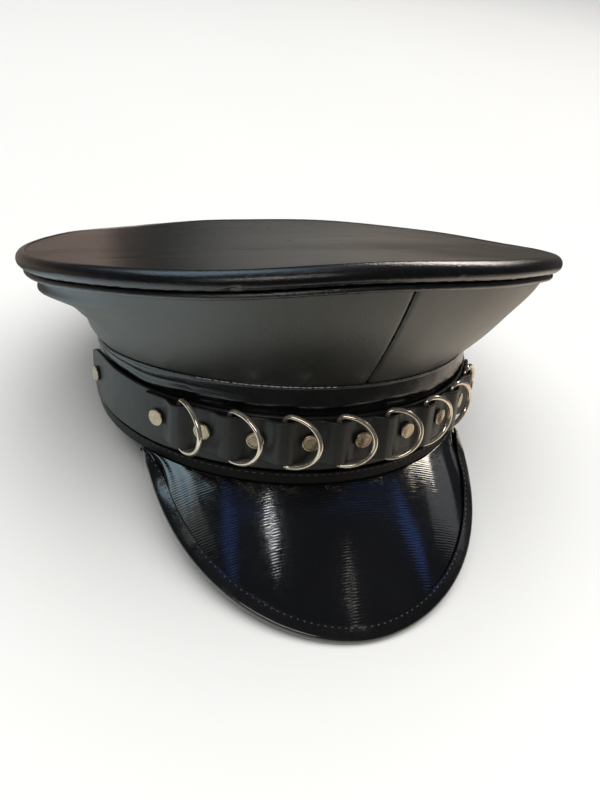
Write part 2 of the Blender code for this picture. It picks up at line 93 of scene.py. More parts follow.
@dataclass(frozen=True)
class Form:
    """The cap's shared sizes, and the curves that its pieces follow."""

    half_width: float = 0.0930
    half_length: float = 0.0951
    band_height: float = 0.0388
    front_rise: float = 0.0034
    front_dip: float = 0.0035
    sink: float = 0.0050
    sink_at: float = math.radians(-95.0)
    sink_spread: float = math.radians(40.0)
    clearance: float = 0.0003
    strap_wall: float = 0.0016
    side_overhang: float = 0.0349
    end_overhang: float = 0.0355
    crown_lift: float = 0.0361
    crown_front_rise: float = 0.0195
    crown_saddle: float = 0.0028
    crown_side_lift: float = 0.0014
    roll_radius: float = 0.0038
    piping_radius: float = 0.00145
    piping_inset: float = 0.00055
    seam: float = math.radians(5.5)
    first_rivet: float = math.radians(-48.8)
    pitch: float = math.radians(13.47)
    wire: float = 0.0023
    strap_centre: float = 0.01835
    # azimuth in degrees, swell as a share of the side overhang, lift as a share of the front rise
    rim_rows: tuple[tuple[float, float, float], ...] = (
        (0, -0.01, 0.05),
        (30, 0.00, 0.01),
        (60, 0.04, -0.03),
        (90, -0.01, -0.03),
        (120, 0.00, 0.03),
        (150, 0.01, 0.05),
        (180, 0.00, -0.02),
        (210, -0.01, -0.06),
        (240, 0.01, 0.03),
        (270, 0.00, 0.03),
        (300, -0.04, -0.02),
        (330, 0.01, -0.05),
    )

    @property
    def strap_out(self) -> float:
        """How far the wide strap's face stands from the band's."""
        return self.clearance + self.strap_wall

    @property
    def ring_bar_out(self) -> float:
        """How far a ring's bar stands from the band's face."""
        return self.strap_out + self.clearance + self.wire / 2

    @property
    def ring_strap_out(self) -> float:
        """How far the ring strap's face stands from the band's."""
        return 2 * self.strap_out

    def polar(self, azimuth: Array, out: Array | float, height: Array | float) -> Array:
        """Points beyond the band's face.

        Args:
            azimuth: angles round the cap.
            out: distance outside the band's outer face.
            height: height above the origin.

        Returns:
            (half width + out) sin azimuth, -(half length + out) cos azimuth, height.
        """
        azimuth, out, height = np.broadcast_arrays(azimuth, out, height)
        x = (self.half_width + out) * np.sin(azimuth)
        y = -(self.half_length + out) * np.cos(azimuth)
        return np.stack([x, y, height], axis=-1)

    def facing(self, azimuth: float) -> float:
        """The turn about Z that carries -Y to the band's outward normal."""
        return math.atan2(math.sin(azimuth) / self.half_width, math.cos(azimuth) / self.half_length)

    def foot(self, azimuth: Array) -> Array:
        """Height of the band's lower edge: the front dips by a cosine."""
        return -self.front_dip * np.cos(azimuth)

    def sag(self, azimuth: Array) -> Array:
        """How fully the band's upper edge sags, as a bell on the left side."""
        return bump(turn_from(azimuth, self.sink_at), 0.0, self.sink_spread)

    def top(self, azimuth: Array) -> Array:
        """Height of the band's upper edge: the front rises by a cosine, and the left side sags."""
        return self.band_height + self.front_rise * np.cos(azimuth) - self.sink * self.sag(azimuth)

    def rim_column(self, azimuth: Array, column: int) -> Array:
        """One column of the rim table, eased round the rim by half a cosine between rows.

        Args:
            azimuth: angles round the cap.
            column: which column of the table.

        Returns:
            The column's value at each azimuth.
        """
        knots = np.radians([row[0] for row in self.rim_rows] + [360])
        values = np.array([row[column] for row in self.rim_rows] + [self.rim_rows[0][column]])
        turn = np.mod(azimuth, 2 * math.pi)
        index = np.clip(np.searchsorted(knots, turn, side="right") - 1, 0, len(self.rim_rows) - 1)
        share = (turn - knots[index]) / (knots[index + 1] - knots[index])
        share = 0.5 - 0.5 * np.cos(math.pi * share)
        return values[index] * (1 - share) + values[index + 1] * share

    def rim(self, azimuth: Array, inset: Array | float, drop: Array | float) -> Array:
        """Points near the crown's rim.

        Args:
            azimuth: angles round the cap.
            inset: distance inside the rim's widest line.
            drop: distance below the roll's centre.

        Returns:
            An oval whose height is a cosine to the front, a saddle of twice the angle and a sine to the side.
        """
        azimuth, inset, drop = np.broadcast_arrays(np.asarray(azimuth, float), inset, drop)
        swell = self.side_overhang * self.rim_column(azimuth, 1)
        wide = self.half_width + self.side_overhang + swell - inset
        long = self.half_length + self.end_overhang + swell - inset
        height = (
            self.band_height
            + self.crown_lift
            + self.crown_front_rise * (np.cos(azimuth) + self.rim_column(azimuth, 2))
            + self.crown_saddle * np.cos(2 * azimuth)
            + self.crown_side_lift * np.sin(azimuth)
            - drop
        )
        return np.stack([wide * np.sin(azimuth), -long * np.cos(azimuth), height], axis=-1)


def ease(share: Array) -> Array:
    """A smooth step from 0 to 1: three squares less two cubes, held flat outside."""
    share = np.clip(share, 0, 1)
    return share * share * (3 - 2 * share)


def bump(value: Array, middle: float, spread: float) -> Array:
    """A bell curve of height 1 about the middle."""
    return np.exp(-(((value - middle) / spread) ** 2))


def turn_from(azimuth: Array, middle: float) -> Array:
    """The angle from the middle to each azimuth, between minus and plus half a turn."""
    return np.angle(np.exp(1j * (np.asarray(azimuth, float) - middle)))


def wander(value: Array, period: float, seed: int, layers: int = 4) -> Array:
    """A soft uneven wave between about -1 and 1.

    Args:
        value: where it is read.
        period: the longest wave.
        seed: picks the waves' phases.
        layers: how many sines are added, each about 1.7 times finer and weaker than the last.

    Returns:
        The sum of the sines.
    """
    phases = np.random.default_rng(seed).uniform(0, 2 * math.pi, layers)
    value = np.asarray(value, float)
    total = np.zeros_like(value)
    for layer, phase in enumerate(phases):
        step = 1.7**layer
        total += np.sin(2 * math.pi * value * step / period + phase) / step
    return total / 1.8


def outward(azimuth: Array) -> Array:
    """Level unit vectors that point out at each azimuth."""
    azimuth = np.asarray(azimuth, float)
    return np.stack([np.sin(azimuth), -np.cos(azimuth), np.zeros_like(azimuth)], axis=-1)


def unit(vectors: Array) -> Array:
    """The same directions with length 1."""
    return vectors / np.linalg.norm(vectors, axis=-1, keepdims=True)


def lengths_along(line: Array) -> Array:
    """How far each point of a line lies from its start, and last the whole way round, back to the start."""
    steps = np.linalg.norm(np.roll(line, -1, axis=0) - line, axis=1)
    return np.append(0.0, np.cumsum(steps))


def add_object(name: str, data: bpy.types.ID) -> bpy.types.Object:
    """A new object in the scene that shows the data."""
    made = bpy.data.objects.new(name, data)
    bpy.context.scene.collection.objects.link(made)
    return made


def stand(thing: bpy.types.Object, turn: Array, place: Array) -> None:
    """Puts an object at a place, with its own X, Y and Z along the turn's columns.

    Args:
        thing: the object.
        turn: its axes, one in each column.
        place: its origin's place.
    """
    matrix = np.eye(4)
    matrix[:3, :3], matrix[:3, 3] = turn, place
    thing.matrix_world = Matrix(matrix.tolist())


@dataclass
class Workshop:
    """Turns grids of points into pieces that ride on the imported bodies."""

    cap: CapFrame
    form: Form
    made: list[bpy.types.Object] = field(default_factory=list)

    def grid(
        self,
        name: str,
        points: Array,
        finish: bpy.types.Material,
        slot: Slot,
        closed: tuple[bool, bool] = (False, False),
        solid: bool = False,
        wall: float = 0.0,
        body: str = ROOT,
        stands_for: tuple[str, ...] = (),
    ) -> bpy.types.Object:
        """A surface on a grid of rows and columns, made a mesh with a UV map in metres.

        Args:
            name: the piece's name.
            points: rows by columns by 3, in the cap's frame.
            finish: its material.
            slot: the record's slot that it stands for.
            closed: whether the last row and the last column join the first.
            solid: whether the grid bounds a solid, whose open ends get a face each and whose faces turn out.
            wall: thickness given on the inner side, for an open sheet.
            body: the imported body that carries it.
            stands_for: the CAD nodes it replaces.

        Returns:
            The piece.
        """
        rows, columns = points.shape[:2]
        last_row = rows if closed[0] else rows - 1
        last_column = columns if closed[1] else columns - 1
        row, column = np.meshgrid(np.arange(last_row), np.arange(last_column), indexing="ij")
        corner_rows = np.stack([row, row, row + 1, row + 1], axis=-1).reshape(-1, 4)
        corner_columns = np.stack([column, column + 1, column + 1, column], axis=-1).reshape(-1, 4)
        faces = ((corner_rows % rows) * columns + corner_columns % columns).tolist()
        ends = 0
        if solid and not closed[0]:
            faces += [list(range(columns)), [(rows - 1) * columns + c for c in reversed(range(columns))]]
            ends = 2 * columns
        mesh = self.mesh(name, points, faces)
        down = lengths_along(points[:, columns // 2])
        across = lengths_along(points[rows // 2])
        flat = np.stack([across[corner_columns], down[corner_rows]], axis=-1).reshape(-1, 2)
        flat = np.concatenate([flat, np.zeros((ends, 2))])
        layer = mesh.uv_layers.new(name="metres")
        layer.data.foreach_set("uv", flat.ravel().astype(np.float32))
        if solid:
            self.face_out(mesh)
            mesh.set_sharp_from_angle(angle=math.radians(50))
        piece = add_object(name, mesh)
        if wall:
            shell = piece.modifiers.new("wall", "SOLIDIFY")
            shell.thickness = wall
            shell.offset = -1.0
            shell.use_even_offset = True
        return self.finish(piece, finish, slot, body, stands_for)

    def mesh(self, name: str, points: Array, faces: list[list[int]]) -> bpy.types.Mesh:
        """A smooth mesh with these points of the cap's frame as its corners.

        Args:
            name: its name.
            points: its corners.
            faces: each face's corners, by number.

        Returns:
            The mesh.
        """
        made = bpy.data.meshes.new(name)
        made.from_pydata(self.cap.place(points).reshape(-1, 3).tolist(), [], faces)
        made.shade_smooth()
        return made

    def face_out(self, mesh: bpy.types.Mesh) -> None:
        """Turns a closed mesh's faces outward.

        Args:
            mesh: the mesh, changed in place.
        """
        shape = bmesh.new()
        shape.from_mesh(mesh)
        bmesh.ops.recalc_face_normals(shape, faces=shape.faces)
        shape.to_mesh(mesh)
        shape.free()

    def finish(
        self,
        piece: bpy.types.Object,
        finish: bpy.types.Material,
        slot: Slot,
        body: str = ROOT,
        stands_for: tuple[str, ...] = (),
    ) -> bpy.types.Object:
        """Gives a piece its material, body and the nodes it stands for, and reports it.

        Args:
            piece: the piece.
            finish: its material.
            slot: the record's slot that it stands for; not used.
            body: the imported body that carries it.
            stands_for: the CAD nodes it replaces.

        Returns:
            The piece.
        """
        piece.data.materials.append(finish)
        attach(piece, body)
        if stands_for:
            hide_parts(*stands_for)
        self.made.append(piece)
        LOG.info("%s: %d vertices on %s", piece.name, len(piece.data.vertices), body)
        return piece

    def tube(
        self,
        name: str,
        path: Array,
        radius: Array | float,
        finish: bpy.types.Material,
        slot: Slot,
        sides: int = 16,
        up: Array = UP,
        **rest: object,
    ) -> bpy.types.Object:
        """A closed round cord or wire along a path.

        Args:
            name: the piece's name.
            path: points along its centre line, in the cap's frame.
            radius: one radius, or one for each point and side.
            finish: its material.
            slot: the record's slot.
            sides: points round the section.
            up: the direction that the section's first side leans to.
            rest: passed on to grid.

        Returns:
            The piece: at each point, a circle in the plane square to the path.
        """
        along = unit(np.roll(path, -1, axis=0) - np.roll(path, 1, axis=0))
        side = unit(np.cross(along, up))
        rise = np.cross(side, along)
        turn = np.linspace(0, 2 * math.pi, sides, endpoint=False)
        radius = np.broadcast_to(radius, (len(path), sides))[..., None]
        ring = side[:, None] * np.cos(turn)[None, :, None] + rise[:, None] * np.sin(turn)[None, :, None]
        points = path[:, None] + ring * radius
        return self.grid(name, points, finish, slot, closed=(True, True), solid=True, **rest)

    def stitches(
        self,
        name: str,
        starts: Array,
        ends: Array,
        normals: Array,
        width: float,
        finish: bpy.types.Material,
        slot: Slot,
    ) -> bpy.types.Object:
        """A row of stitches, each a short thread that dives at both ends.

        Args:
            name: the piece's name.
            starts: where each stitch enters, in the cap's frame.
            ends: where it leaves.
            normals: the leather's outward direction at each.
            width: the thread's thickness.
            finish: its material.
            slot: the record's slot.

        Returns:
            One mesh of all stitches: five six-sided sections each, whose height above the leather and
            thickness follow half a sine from end to end.
        """
        sections, sides = 5, 6
        share = np.linspace(0, 1, sections)
        lift = np.sin(math.pi * share)
        turn = np.linspace(0, 2 * math.pi, sides, endpoint=False)
        side = unit(np.cross(unit(ends - starts), normals))
        middle = starts[:, None] + (ends - starts)[:, None] * share[None, :, None]
        middle = middle + normals[:, None] * (width * (0.55 * lift - 0.35))[None, :, None]
        size = width / 2 * (0.45 + 0.55 * lift)
        ring = side[:, None] * np.cos(turn)[None, :, None] + normals[:, None] * np.sin(turn)[None, :, None]
        points = middle[:, :, None] + ring[:, None] * size[None, :, None, None]
        row, column = np.meshgrid(np.arange(sections - 1) * sides, np.arange(sides), indexing="ij")
        after = (column + 1) % sides
        quads = np.stack([row + column, row + after, row + sides + after, row + sides + column], axis=-1)
        base = (np.arange(len(starts)) * sections * sides)[:, None, None]
        faces = (quads.reshape(-1, 4)[None] + base).reshape(-1, 4).tolist()
        ends_at = np.stack([np.arange(sides), (sections - 1) * sides + np.arange(sides)[::-1]])
        faces += (ends_at[None] + base).reshape(-1, sides).tolist()
        mesh = self.mesh(name, points, faces)
        self.face_out(mesh)
        return self.finish(add_object(name, mesh), finish, slot)


def rounded_section(
    thick: float, low: Array, high: Array, radius: float, corner: int = 4
) -> tuple[Array, Array]:
    """The outline of a flat strip with rounded edges, one for each station.

    Args:
        thick: the strip's thickness.
        low: the height of its lower edge at each station.
        high: the height of its upper edge at each station.
        radius: the radius of its edges.
        corner: points in each quarter turn.

    Returns:
        How far each point stands out from the inner face, and its height, as stations by points. The outline
        runs up the outer face and down the inner one, with quarter circles between.
    """
    quarter = np.linspace(0, math.pi / 2, corner)
    rise = np.linspace(0.04, 0.96, 9)
    out, base, lift = [], [], []
    for centre, start in ((0, -math.pi / 2), (1, 0.0)):
        for angle in start + quarter:
            out.append(thick - radius + radius * math.cos(angle))
            base.append(centre)
            lift.append(radius * math.sin(angle) + (radius if centre == 0 else -radius))
        if centre == 0:
            for share in rise:
                out.append(thick)
                base.append(share)
                lift.append(0.0)
    for centre, start in ((1, math.pi / 2), (0, math.pi)):
        for angle in start + quarter:
            out.append(radius + radius * math.cos(angle))
            base.append(centre)
            lift.append(radius * math.sin(angle) + (radius if centre == 0 else -radius))
    base_row, lift_row = np.array(base), np.array(lift)
    height = low[:, None] + (high - low)[:, None] * base_row[None] + lift_row[None]
    return np.broadcast_to(np.array(out), height.shape), height


class Graph:
    """A node tree with short calls for adding and joining nodes."""

    def __init__(self, tree: bpy.types.NodeTree) -> None:
        """Works on this tree."""
        self.tree = tree

    def add(
        self, kind: str, inputs: dict[str | int, object] | None = None, **settings: object
    ) -> bpy.types.Node:
        """Adds a node.

        Args:
            kind: the node's type without its "ShaderNode" prefix.
            inputs: values or sockets for its inputs, by name or number.
            settings: the node's own properties.

        Returns:
            The node.
        """
        node = self.tree.nodes.new(f"ShaderNode{kind}")
        for name, value in settings.items():
            setattr(node, name, value)
        self.feed(node, inputs or {})
        return node

    def feed(self, node: bpy.types.Node, inputs: dict[str | int, object]) -> None:
        """Joins each socket to the node's input of that name or number, or sets the input to the value.

        Args:
            node: the node.
            inputs: values or sockets for its inputs.
        """
        for key, value in inputs.items():
            if isinstance(value, bpy.types.NodeSocket):
                self.tree.links.new(value, node.inputs[key])
            else:
                node.inputs[key].default_value = value

    def maths(self, operation: str, first: object, second: object = 0.0) -> bpy.types.NodeSocket:
        """The result of a sum, product or other operation on two values."""
        return self.add("Math", {0: first, 1: second}, operation=operation).outputs[0]

    def fit(
        self, value: object, low: float, high: float, to_low: float = 0.0, to_high: float = 1.0
    ) -> bpy.types.NodeSocket:
        """A value carried from one range to another, held at its ends."""
        inputs = {"Value": value, "From Min": low, "From Max": high, "To Min": to_low, "To Max": to_high}
        return self.add("MapRange", inputs).outputs[0]

    def tint(self, share: object, first: object, second: object) -> bpy.types.NodeSocket:
        """A colour between two."""
        return self.add("Mix", {0: share, 6: first, 7: second}, data_type="RGBA").outputs[2]

    def relief(self, height: object, depth: float) -> bpy.types.NodeSocket:
        """The surface's direction where this height, times the depth, stands on it."""
        return self.add("Bump", {"Height": height, "Strength": 1.0, "Distance": depth}).outputs[0]


def new_material(name: str) -> tuple[bpy.types.Material, Graph, bpy.types.Node]:
    """A new material, a graph on its nodes, and its main shader.

    Args:
        name: the material's name.

    Returns:
        The material, the graph and the shader.
    """
    made = bpy.data.materials.new(name)
    made.use_nodes = True
    return made, Graph(made.node_tree), made.node_tree.nodes["Principled BSDF"]


def new_group(
    name: str, inputs: dict[str, tuple[str, object]], outputs: dict[str, str]
) -> tuple[bpy.types.NodeTree, Graph]:
    """An empty shader node group with named sockets.

    Args:
        name: the group's name.
        inputs: socket name to kind and starting value.
        outputs: socket name to kind.

    Returns:
        The group's tree and a graph on it.
    """
    tree = bpy.data.node_groups.new(name, "ShaderNodeTree")
    for label, (kind, start) in inputs.items():
        socket = tree.interface.new_socket(name=label, in_out="INPUT", socket_type=f"NodeSocket{kind}")
        if start is not None:
            socket.default_value = start
    for label, kind in outputs.items():
        tree.interface.new_socket(name=label, in_out="OUTPUT", socket_type=f"NodeSocket{kind}")
    return tree, Graph(tree)


@dataclass
class Effects:
    """The shader groups that several finishes share."""

    grain: bpy.types.NodeTree = field(init=False)
    haze: bpy.types.NodeTree = field(init=False)

    def __post_init__(self) -> None:
        """Builds each group once."""
        self.grain = self.build_grain()
        self.haze = self.build_haze()

    def build_grain(self) -> bpy.types.NodeTree:
        """Pebbled leather grain: domed cells of one size with finer noise, and the pits between them.

        Returns:
            The group, with a height and a mask of the pits, which the leathers use for painted shade.
        """
        inputs = {"Vector": ("Vector", None), "Pebbles": ("Float", 1600.0), "Roughen": ("Float", 0.5)}
        tree, graph = new_group("leather_grain", inputs, {"Height": "Float", "Pits": "Float"})
        place, pebbles, roughen = tree.nodes.new("NodeGroupInput").outputs[:3]
        cells = graph.add("TexVoronoi", {"Vector": place, "Scale": pebbles}, feature="SMOOTH_F1")
        finer = graph.maths("MULTIPLY", pebbles, 2.3)
        noise = graph.add("TexNoise", {"Vector": place, "Scale": finer, "Detail": 2.0})
        domes = graph.maths("SUBTRACT", 1.0, cells.outputs["Distance"])
        total = graph.maths("ADD", domes, graph.maths("MULTIPLY", noise.outputs[0], roughen))
        pits = graph.fit(cells.outputs["Distance"], 0.35, 0.75)
        graph.feed(tree.nodes.new("NodeGroupOutput"), {"Height": total, "Pits": pits})
        return tree

    def build_haze(self) -> bpy.types.NodeTree:
        """Uneven polish: broad clouds and fine wipe marks, between 0 and 1.

        Returns:
            The group, with the level of the clouds and of the marks.
        """
        inputs = {"Vector": ("Vector", None), "Clouds": ("Float", 18.0), "Marks": ("Float", 160.0)}
        tree, graph = new_group("uneven_polish", inputs, {"Cloud": "Float", "Mark": "Float"})
        place, clouds, marks = tree.nodes.new("NodeGroupInput").outputs[:3]
        broad = graph.add("TexNoise", {"Vector": place, "Scale": clouds, "Detail": 3.0}).outputs[0]
        fine = graph.add("TexNoise", {"Vector": place, "Scale": marks, "Detail": 5.0}).outputs[0]
        levels = {"Cloud": graph.fit(broad, 0.3, 0.7), "Mark": graph.fit(fine, 0.35, 0.65)}
        graph.feed(tree.nodes.new("NodeGroupOutput"), levels)
        return tree

    def grained(self, graph: Graph, place: object, pebbles: float) -> bpy.types.Node:
        """The leather grain, placed in a material's graph."""
        inputs = {"Vector": place, "Pebbles": pebbles, "Roughen": 0.6}
        return graph.add("Group", inputs, node_tree=self.grain)

    def hazed(self, graph: Graph, place: object, clouds: float, marks: float) -> bpy.types.Node:
        """The uneven polish, placed in a material's graph."""
        return graph.add("Group", {"Vector": place, "Clouds": clouds, "Marks": marks}, node_tree=self.haze)


@dataclass(frozen=True)
class Leather:
    """Black leather: its colour, polish, grain and coat."""

    name: str
    dark: Colour
    light: Colour
    smooth: float
    dull: float
    pebbles: float
    depth: float
    specular: float = 0.5
    coat: float = 0.0
    coat_roughness: float = 0.08
    stretch: tuple[float, float, float] = (1.0, 1.0, 1.0)

    def build(self, effects: Effects) -> bpy.types.Material:
        """The material: grain feeds the bump and paints shade into its pits, and the clouds of polish feed
        colour and roughness.

        Args:
            effects: the shared shader groups.

        Returns:
            The material.
        """
        made, graph, shader = new_material(self.name)
        place = graph.add("TexCoord").outputs["Object"]
        moved = graph.add("Mapping", {"Vector": place, "Scale": self.stretch}).outputs[0]
        grain = effects.grained(graph, moved, self.pebbles)
        haze = effects.hazed(graph, moved, 22.0, 240.0)
        tone = graph.maths("MULTIPLY", haze.outputs["Cloud"], haze.outputs["Mark"])
        colour = graph.tint(tone, (*self.dark, 1.0), (*self.light, 1.0))
        # painted shade: the grain's pits are darkened towards black
        shade = graph.maths("MULTIPLY", grain.outputs["Pits"], 0.5)
        inputs = {
            "Base Color": graph.tint(shade, colour, (0.002, 0.002, 0.002, 1.0)),
            "Roughness": graph.fit(haze.outputs["Cloud"], 0.0, 1.0, self.smooth, self.dull),
            "Normal": graph.relief(grain.outputs["Height"], self.depth),
            "Specular IOR Level": self.specular,
            "Coat Weight": self.coat,
            "Coat Roughness": self.coat_roughness,
        }
        graph.feed(shader, inputs)
        return made


@dataclass(frozen=True)
class Patent:
    """Patent leather over a fine cloth: a glossy skin through which the threads show in the highlights."""

    name: str
    colour: Colour
    roughness: float
    threads: float
    depth: float
    coat: float

    def build(self, effects: Effects) -> bpy.types.Material:
        """The material: rows of threads across the cap, broken up by noise, feed the bump.

        Args:
            effects: the shared shader groups.

        Returns:
            The material.
        """
        made, graph, shader = new_material(self.name)
        sheet = graph.add("TexCoord").outputs["Object"]
        drawn = graph.add("Mapping", {"Vector": sheet, "Scale": (0.22, 1.0, 0.4)}).outputs[0]
        inputs = {"Vector": drawn, "Scale": self.threads, "Distortion": 2.2, "Detail": 2.0}
        inputs["Detail Scale"] = 3.0
        rows = graph.add("TexWave", inputs, wave_type="BANDS", bands_direction="Y")
        slubs = graph.add("TexNoise", {"Vector": drawn, "Scale": self.threads * 2.2, "Detail": 3.0})
        height = graph.maths("ADD", rows.outputs["Fac"], graph.maths("MULTIPLY", slubs.outputs[0], 1.4))
        haze = effects.hazed(graph, sheet, 26.0, 320.0)
        relief = graph.relief(height, self.depth)
        light = (*(1.6 * part + 0.001 for part in self.colour), 1.0)
        inputs = {
            "Base Color": graph.tint(haze.outputs["Cloud"], (*self.colour, 1.0), light),
            "Roughness": graph.fit(haze.outputs["Mark"], 0.0, 1.0, self.roughness, self.roughness * 1.7),
            "Normal": relief,
            "Coat Normal": relief,
            "Coat Weight": self.coat,
            "Coat Roughness": 0.05,
        }
        graph.feed(shader, inputs)
        return made


@dataclass(frozen=True)
class Metal:
    """Plated metal with fine rubbing marks."""

    name: str
    bright: Colour
    worn: Colour
    roughness: float
    metallic: float

    def build(self, effects: Effects) -> bpy.types.Material:
        """The material: the clouds of polish feed colour, and the wipe marks feed roughness and a faint
        relief.

        Args:
            effects: the shared shader groups.

        Returns:
            The material.
        """
        made, graph, shader = new_material(self.name)
        haze = effects.hazed(graph, graph.add("TexCoord").outputs["Object"], 260.0, 1500.0)
        inputs = {
            "Base Color": graph.tint(haze.outputs["Cloud"], (*self.bright, 1.0), (*self.worn, 1.0)),
            "Roughness": graph.fit(
                haze.outputs["Mark"], 0.0, 1.0, self.roughness * 0.8, self.roughness * 1.3
            ),
            "Normal": graph.relief(haze.outputs["Mark"], 0.000004),
            "Metallic": self.metallic,
        }
        graph.feed(shader, inputs)
        return made


@dataclass(frozen=True)
class Thread:
    """Waxed sewing thread, twisted along its stitch."""

    name: str
    dark: Colour
    light: Colour

    def build(self, effects: Effects) -> bpy.types.Material:
        """The material: fine marks break up its colour.

        Args:
            effects: the shared shader groups.

        Returns:
            The material.
        """
        made, graph, shader = new_material(self.name)
        haze = effects.hazed(graph, graph.add("TexCoord").outputs["Object"], 60.0, 3000.0)
        inputs = {
            "Base Color": graph.tint(haze.outputs["Mark"], (*self.dark, 1.0), (*self.light, 1.0)),
            "Normal": graph.relief(haze.outputs["Mark"], 0.00005),
            "Roughness": 0.45,
        }
        graph.feed(shader, inputs)
        return made


@dataclass
class Finishes:
    """Every finish of the cap, built once."""

    effects: Effects
    crown: bpy.types.Material = field(init=False)
    panel: bpy.types.Material = field(init=False)
    rim: bpy.types.Material = field(init=False)
    piping: bpy.types.Material = field(init=False)
    band: bpy.types.Material = field(init=False)
    hem: bpy.types.Material = field(init=False)
    strap: bpy.types.Material = field(init=False)
    peak: bpy.types.Material = field(init=False)
    binding: bpy.types.Material = field(init=False)
    nickel: bpy.types.Material = field(init=False)
    rivet: bpy.types.Material = field(init=False)
    thread: bpy.types.Material = field(init=False)
    dark_thread: bpy.types.Material = field(init=False)

    def __post_init__(self) -> None:
        """Builds the materials."""
        finishes = {
            "crown": Leather(
                "crown_wall_leather", (0.004, 0.004, 0.0035), (0.010, 0.0095, 0.008), 0.34, 0.44,
                1700.0, 0.000065, specular=1.0,
            ),
            "panel": Leather(
                "crown_top_leather", (0.004, 0.004, 0.004), (0.008, 0.0075, 0.007), 0.22, 0.29,
                900.0, 0.00003, specular=0.55, stretch=(0.25, 1.0, 1.0),
            ),
            "rim": Leather(
                "rim_roll_leather", (0.003, 0.003, 0.0035), (0.007, 0.007, 0.0075), 0.18, 0.26,
                1500.0, 0.00008, specular=0.6,
            ),
            "band": Leather(
                "band_wrap_leather", (0.003, 0.003, 0.003), (0.006, 0.006, 0.006), 0.20, 0.30,
                1500.0, 0.00004, specular=0.7,
            ),
            "piping": Leather(
                "piping_leather", (0.003, 0.003, 0.0035), (0.007, 0.007, 0.0075), 0.24, 0.34,
                1900.0, 0.00012, specular=1.0,
            ),
            "hem": Leather(
                "hem_leather", (0.003, 0.003, 0.003), (0.006, 0.006, 0.006), 0.34, 0.44,
                1500.0, 0.00005, specular=0.12,
            ),
            "strap": Leather(
                "strap_smooth_leather", (0.006, 0.006, 0.006), (0.013, 0.013, 0.012), 0.34, 0.46,
                1200.0, 0.00004,
            ),
            "peak": Patent("peak_patent", (0.002, 0.002, 0.0025), 0.09, 290.0, 0.000016, 0.8),
            "binding": Leather(
                "binding_patent", (0.003, 0.003, 0.0035), (0.006, 0.006, 0.0065), 0.16, 0.26,
                900.0, 0.00004, coat=0.6,
            ),
            "nickel": Metal("nickel_wire", (0.74, 0.65, 0.53), (0.56, 0.48, 0.39), 0.13, 0.86),
            "rivet": Metal("rivet_nickel", (0.50, 0.41, 0.30), (0.36, 0.29, 0.20), 0.26, 0.90),
            # a pale copy of the thread, used for the painted highlight on one arc of the crown's seam
            "thread": Thread("stitch_thread_painted_highlight", (0.16, 0.16, 0.16), (0.55, 0.54, 0.52)),
            "dark_thread": Thread("dark_stitch_thread", (0.010, 0.010, 0.010), (0.09, 0.085, 0.08)),
        }
        for name, finish in finishes.items():
            setattr(self, name, finish.build(self.effects))


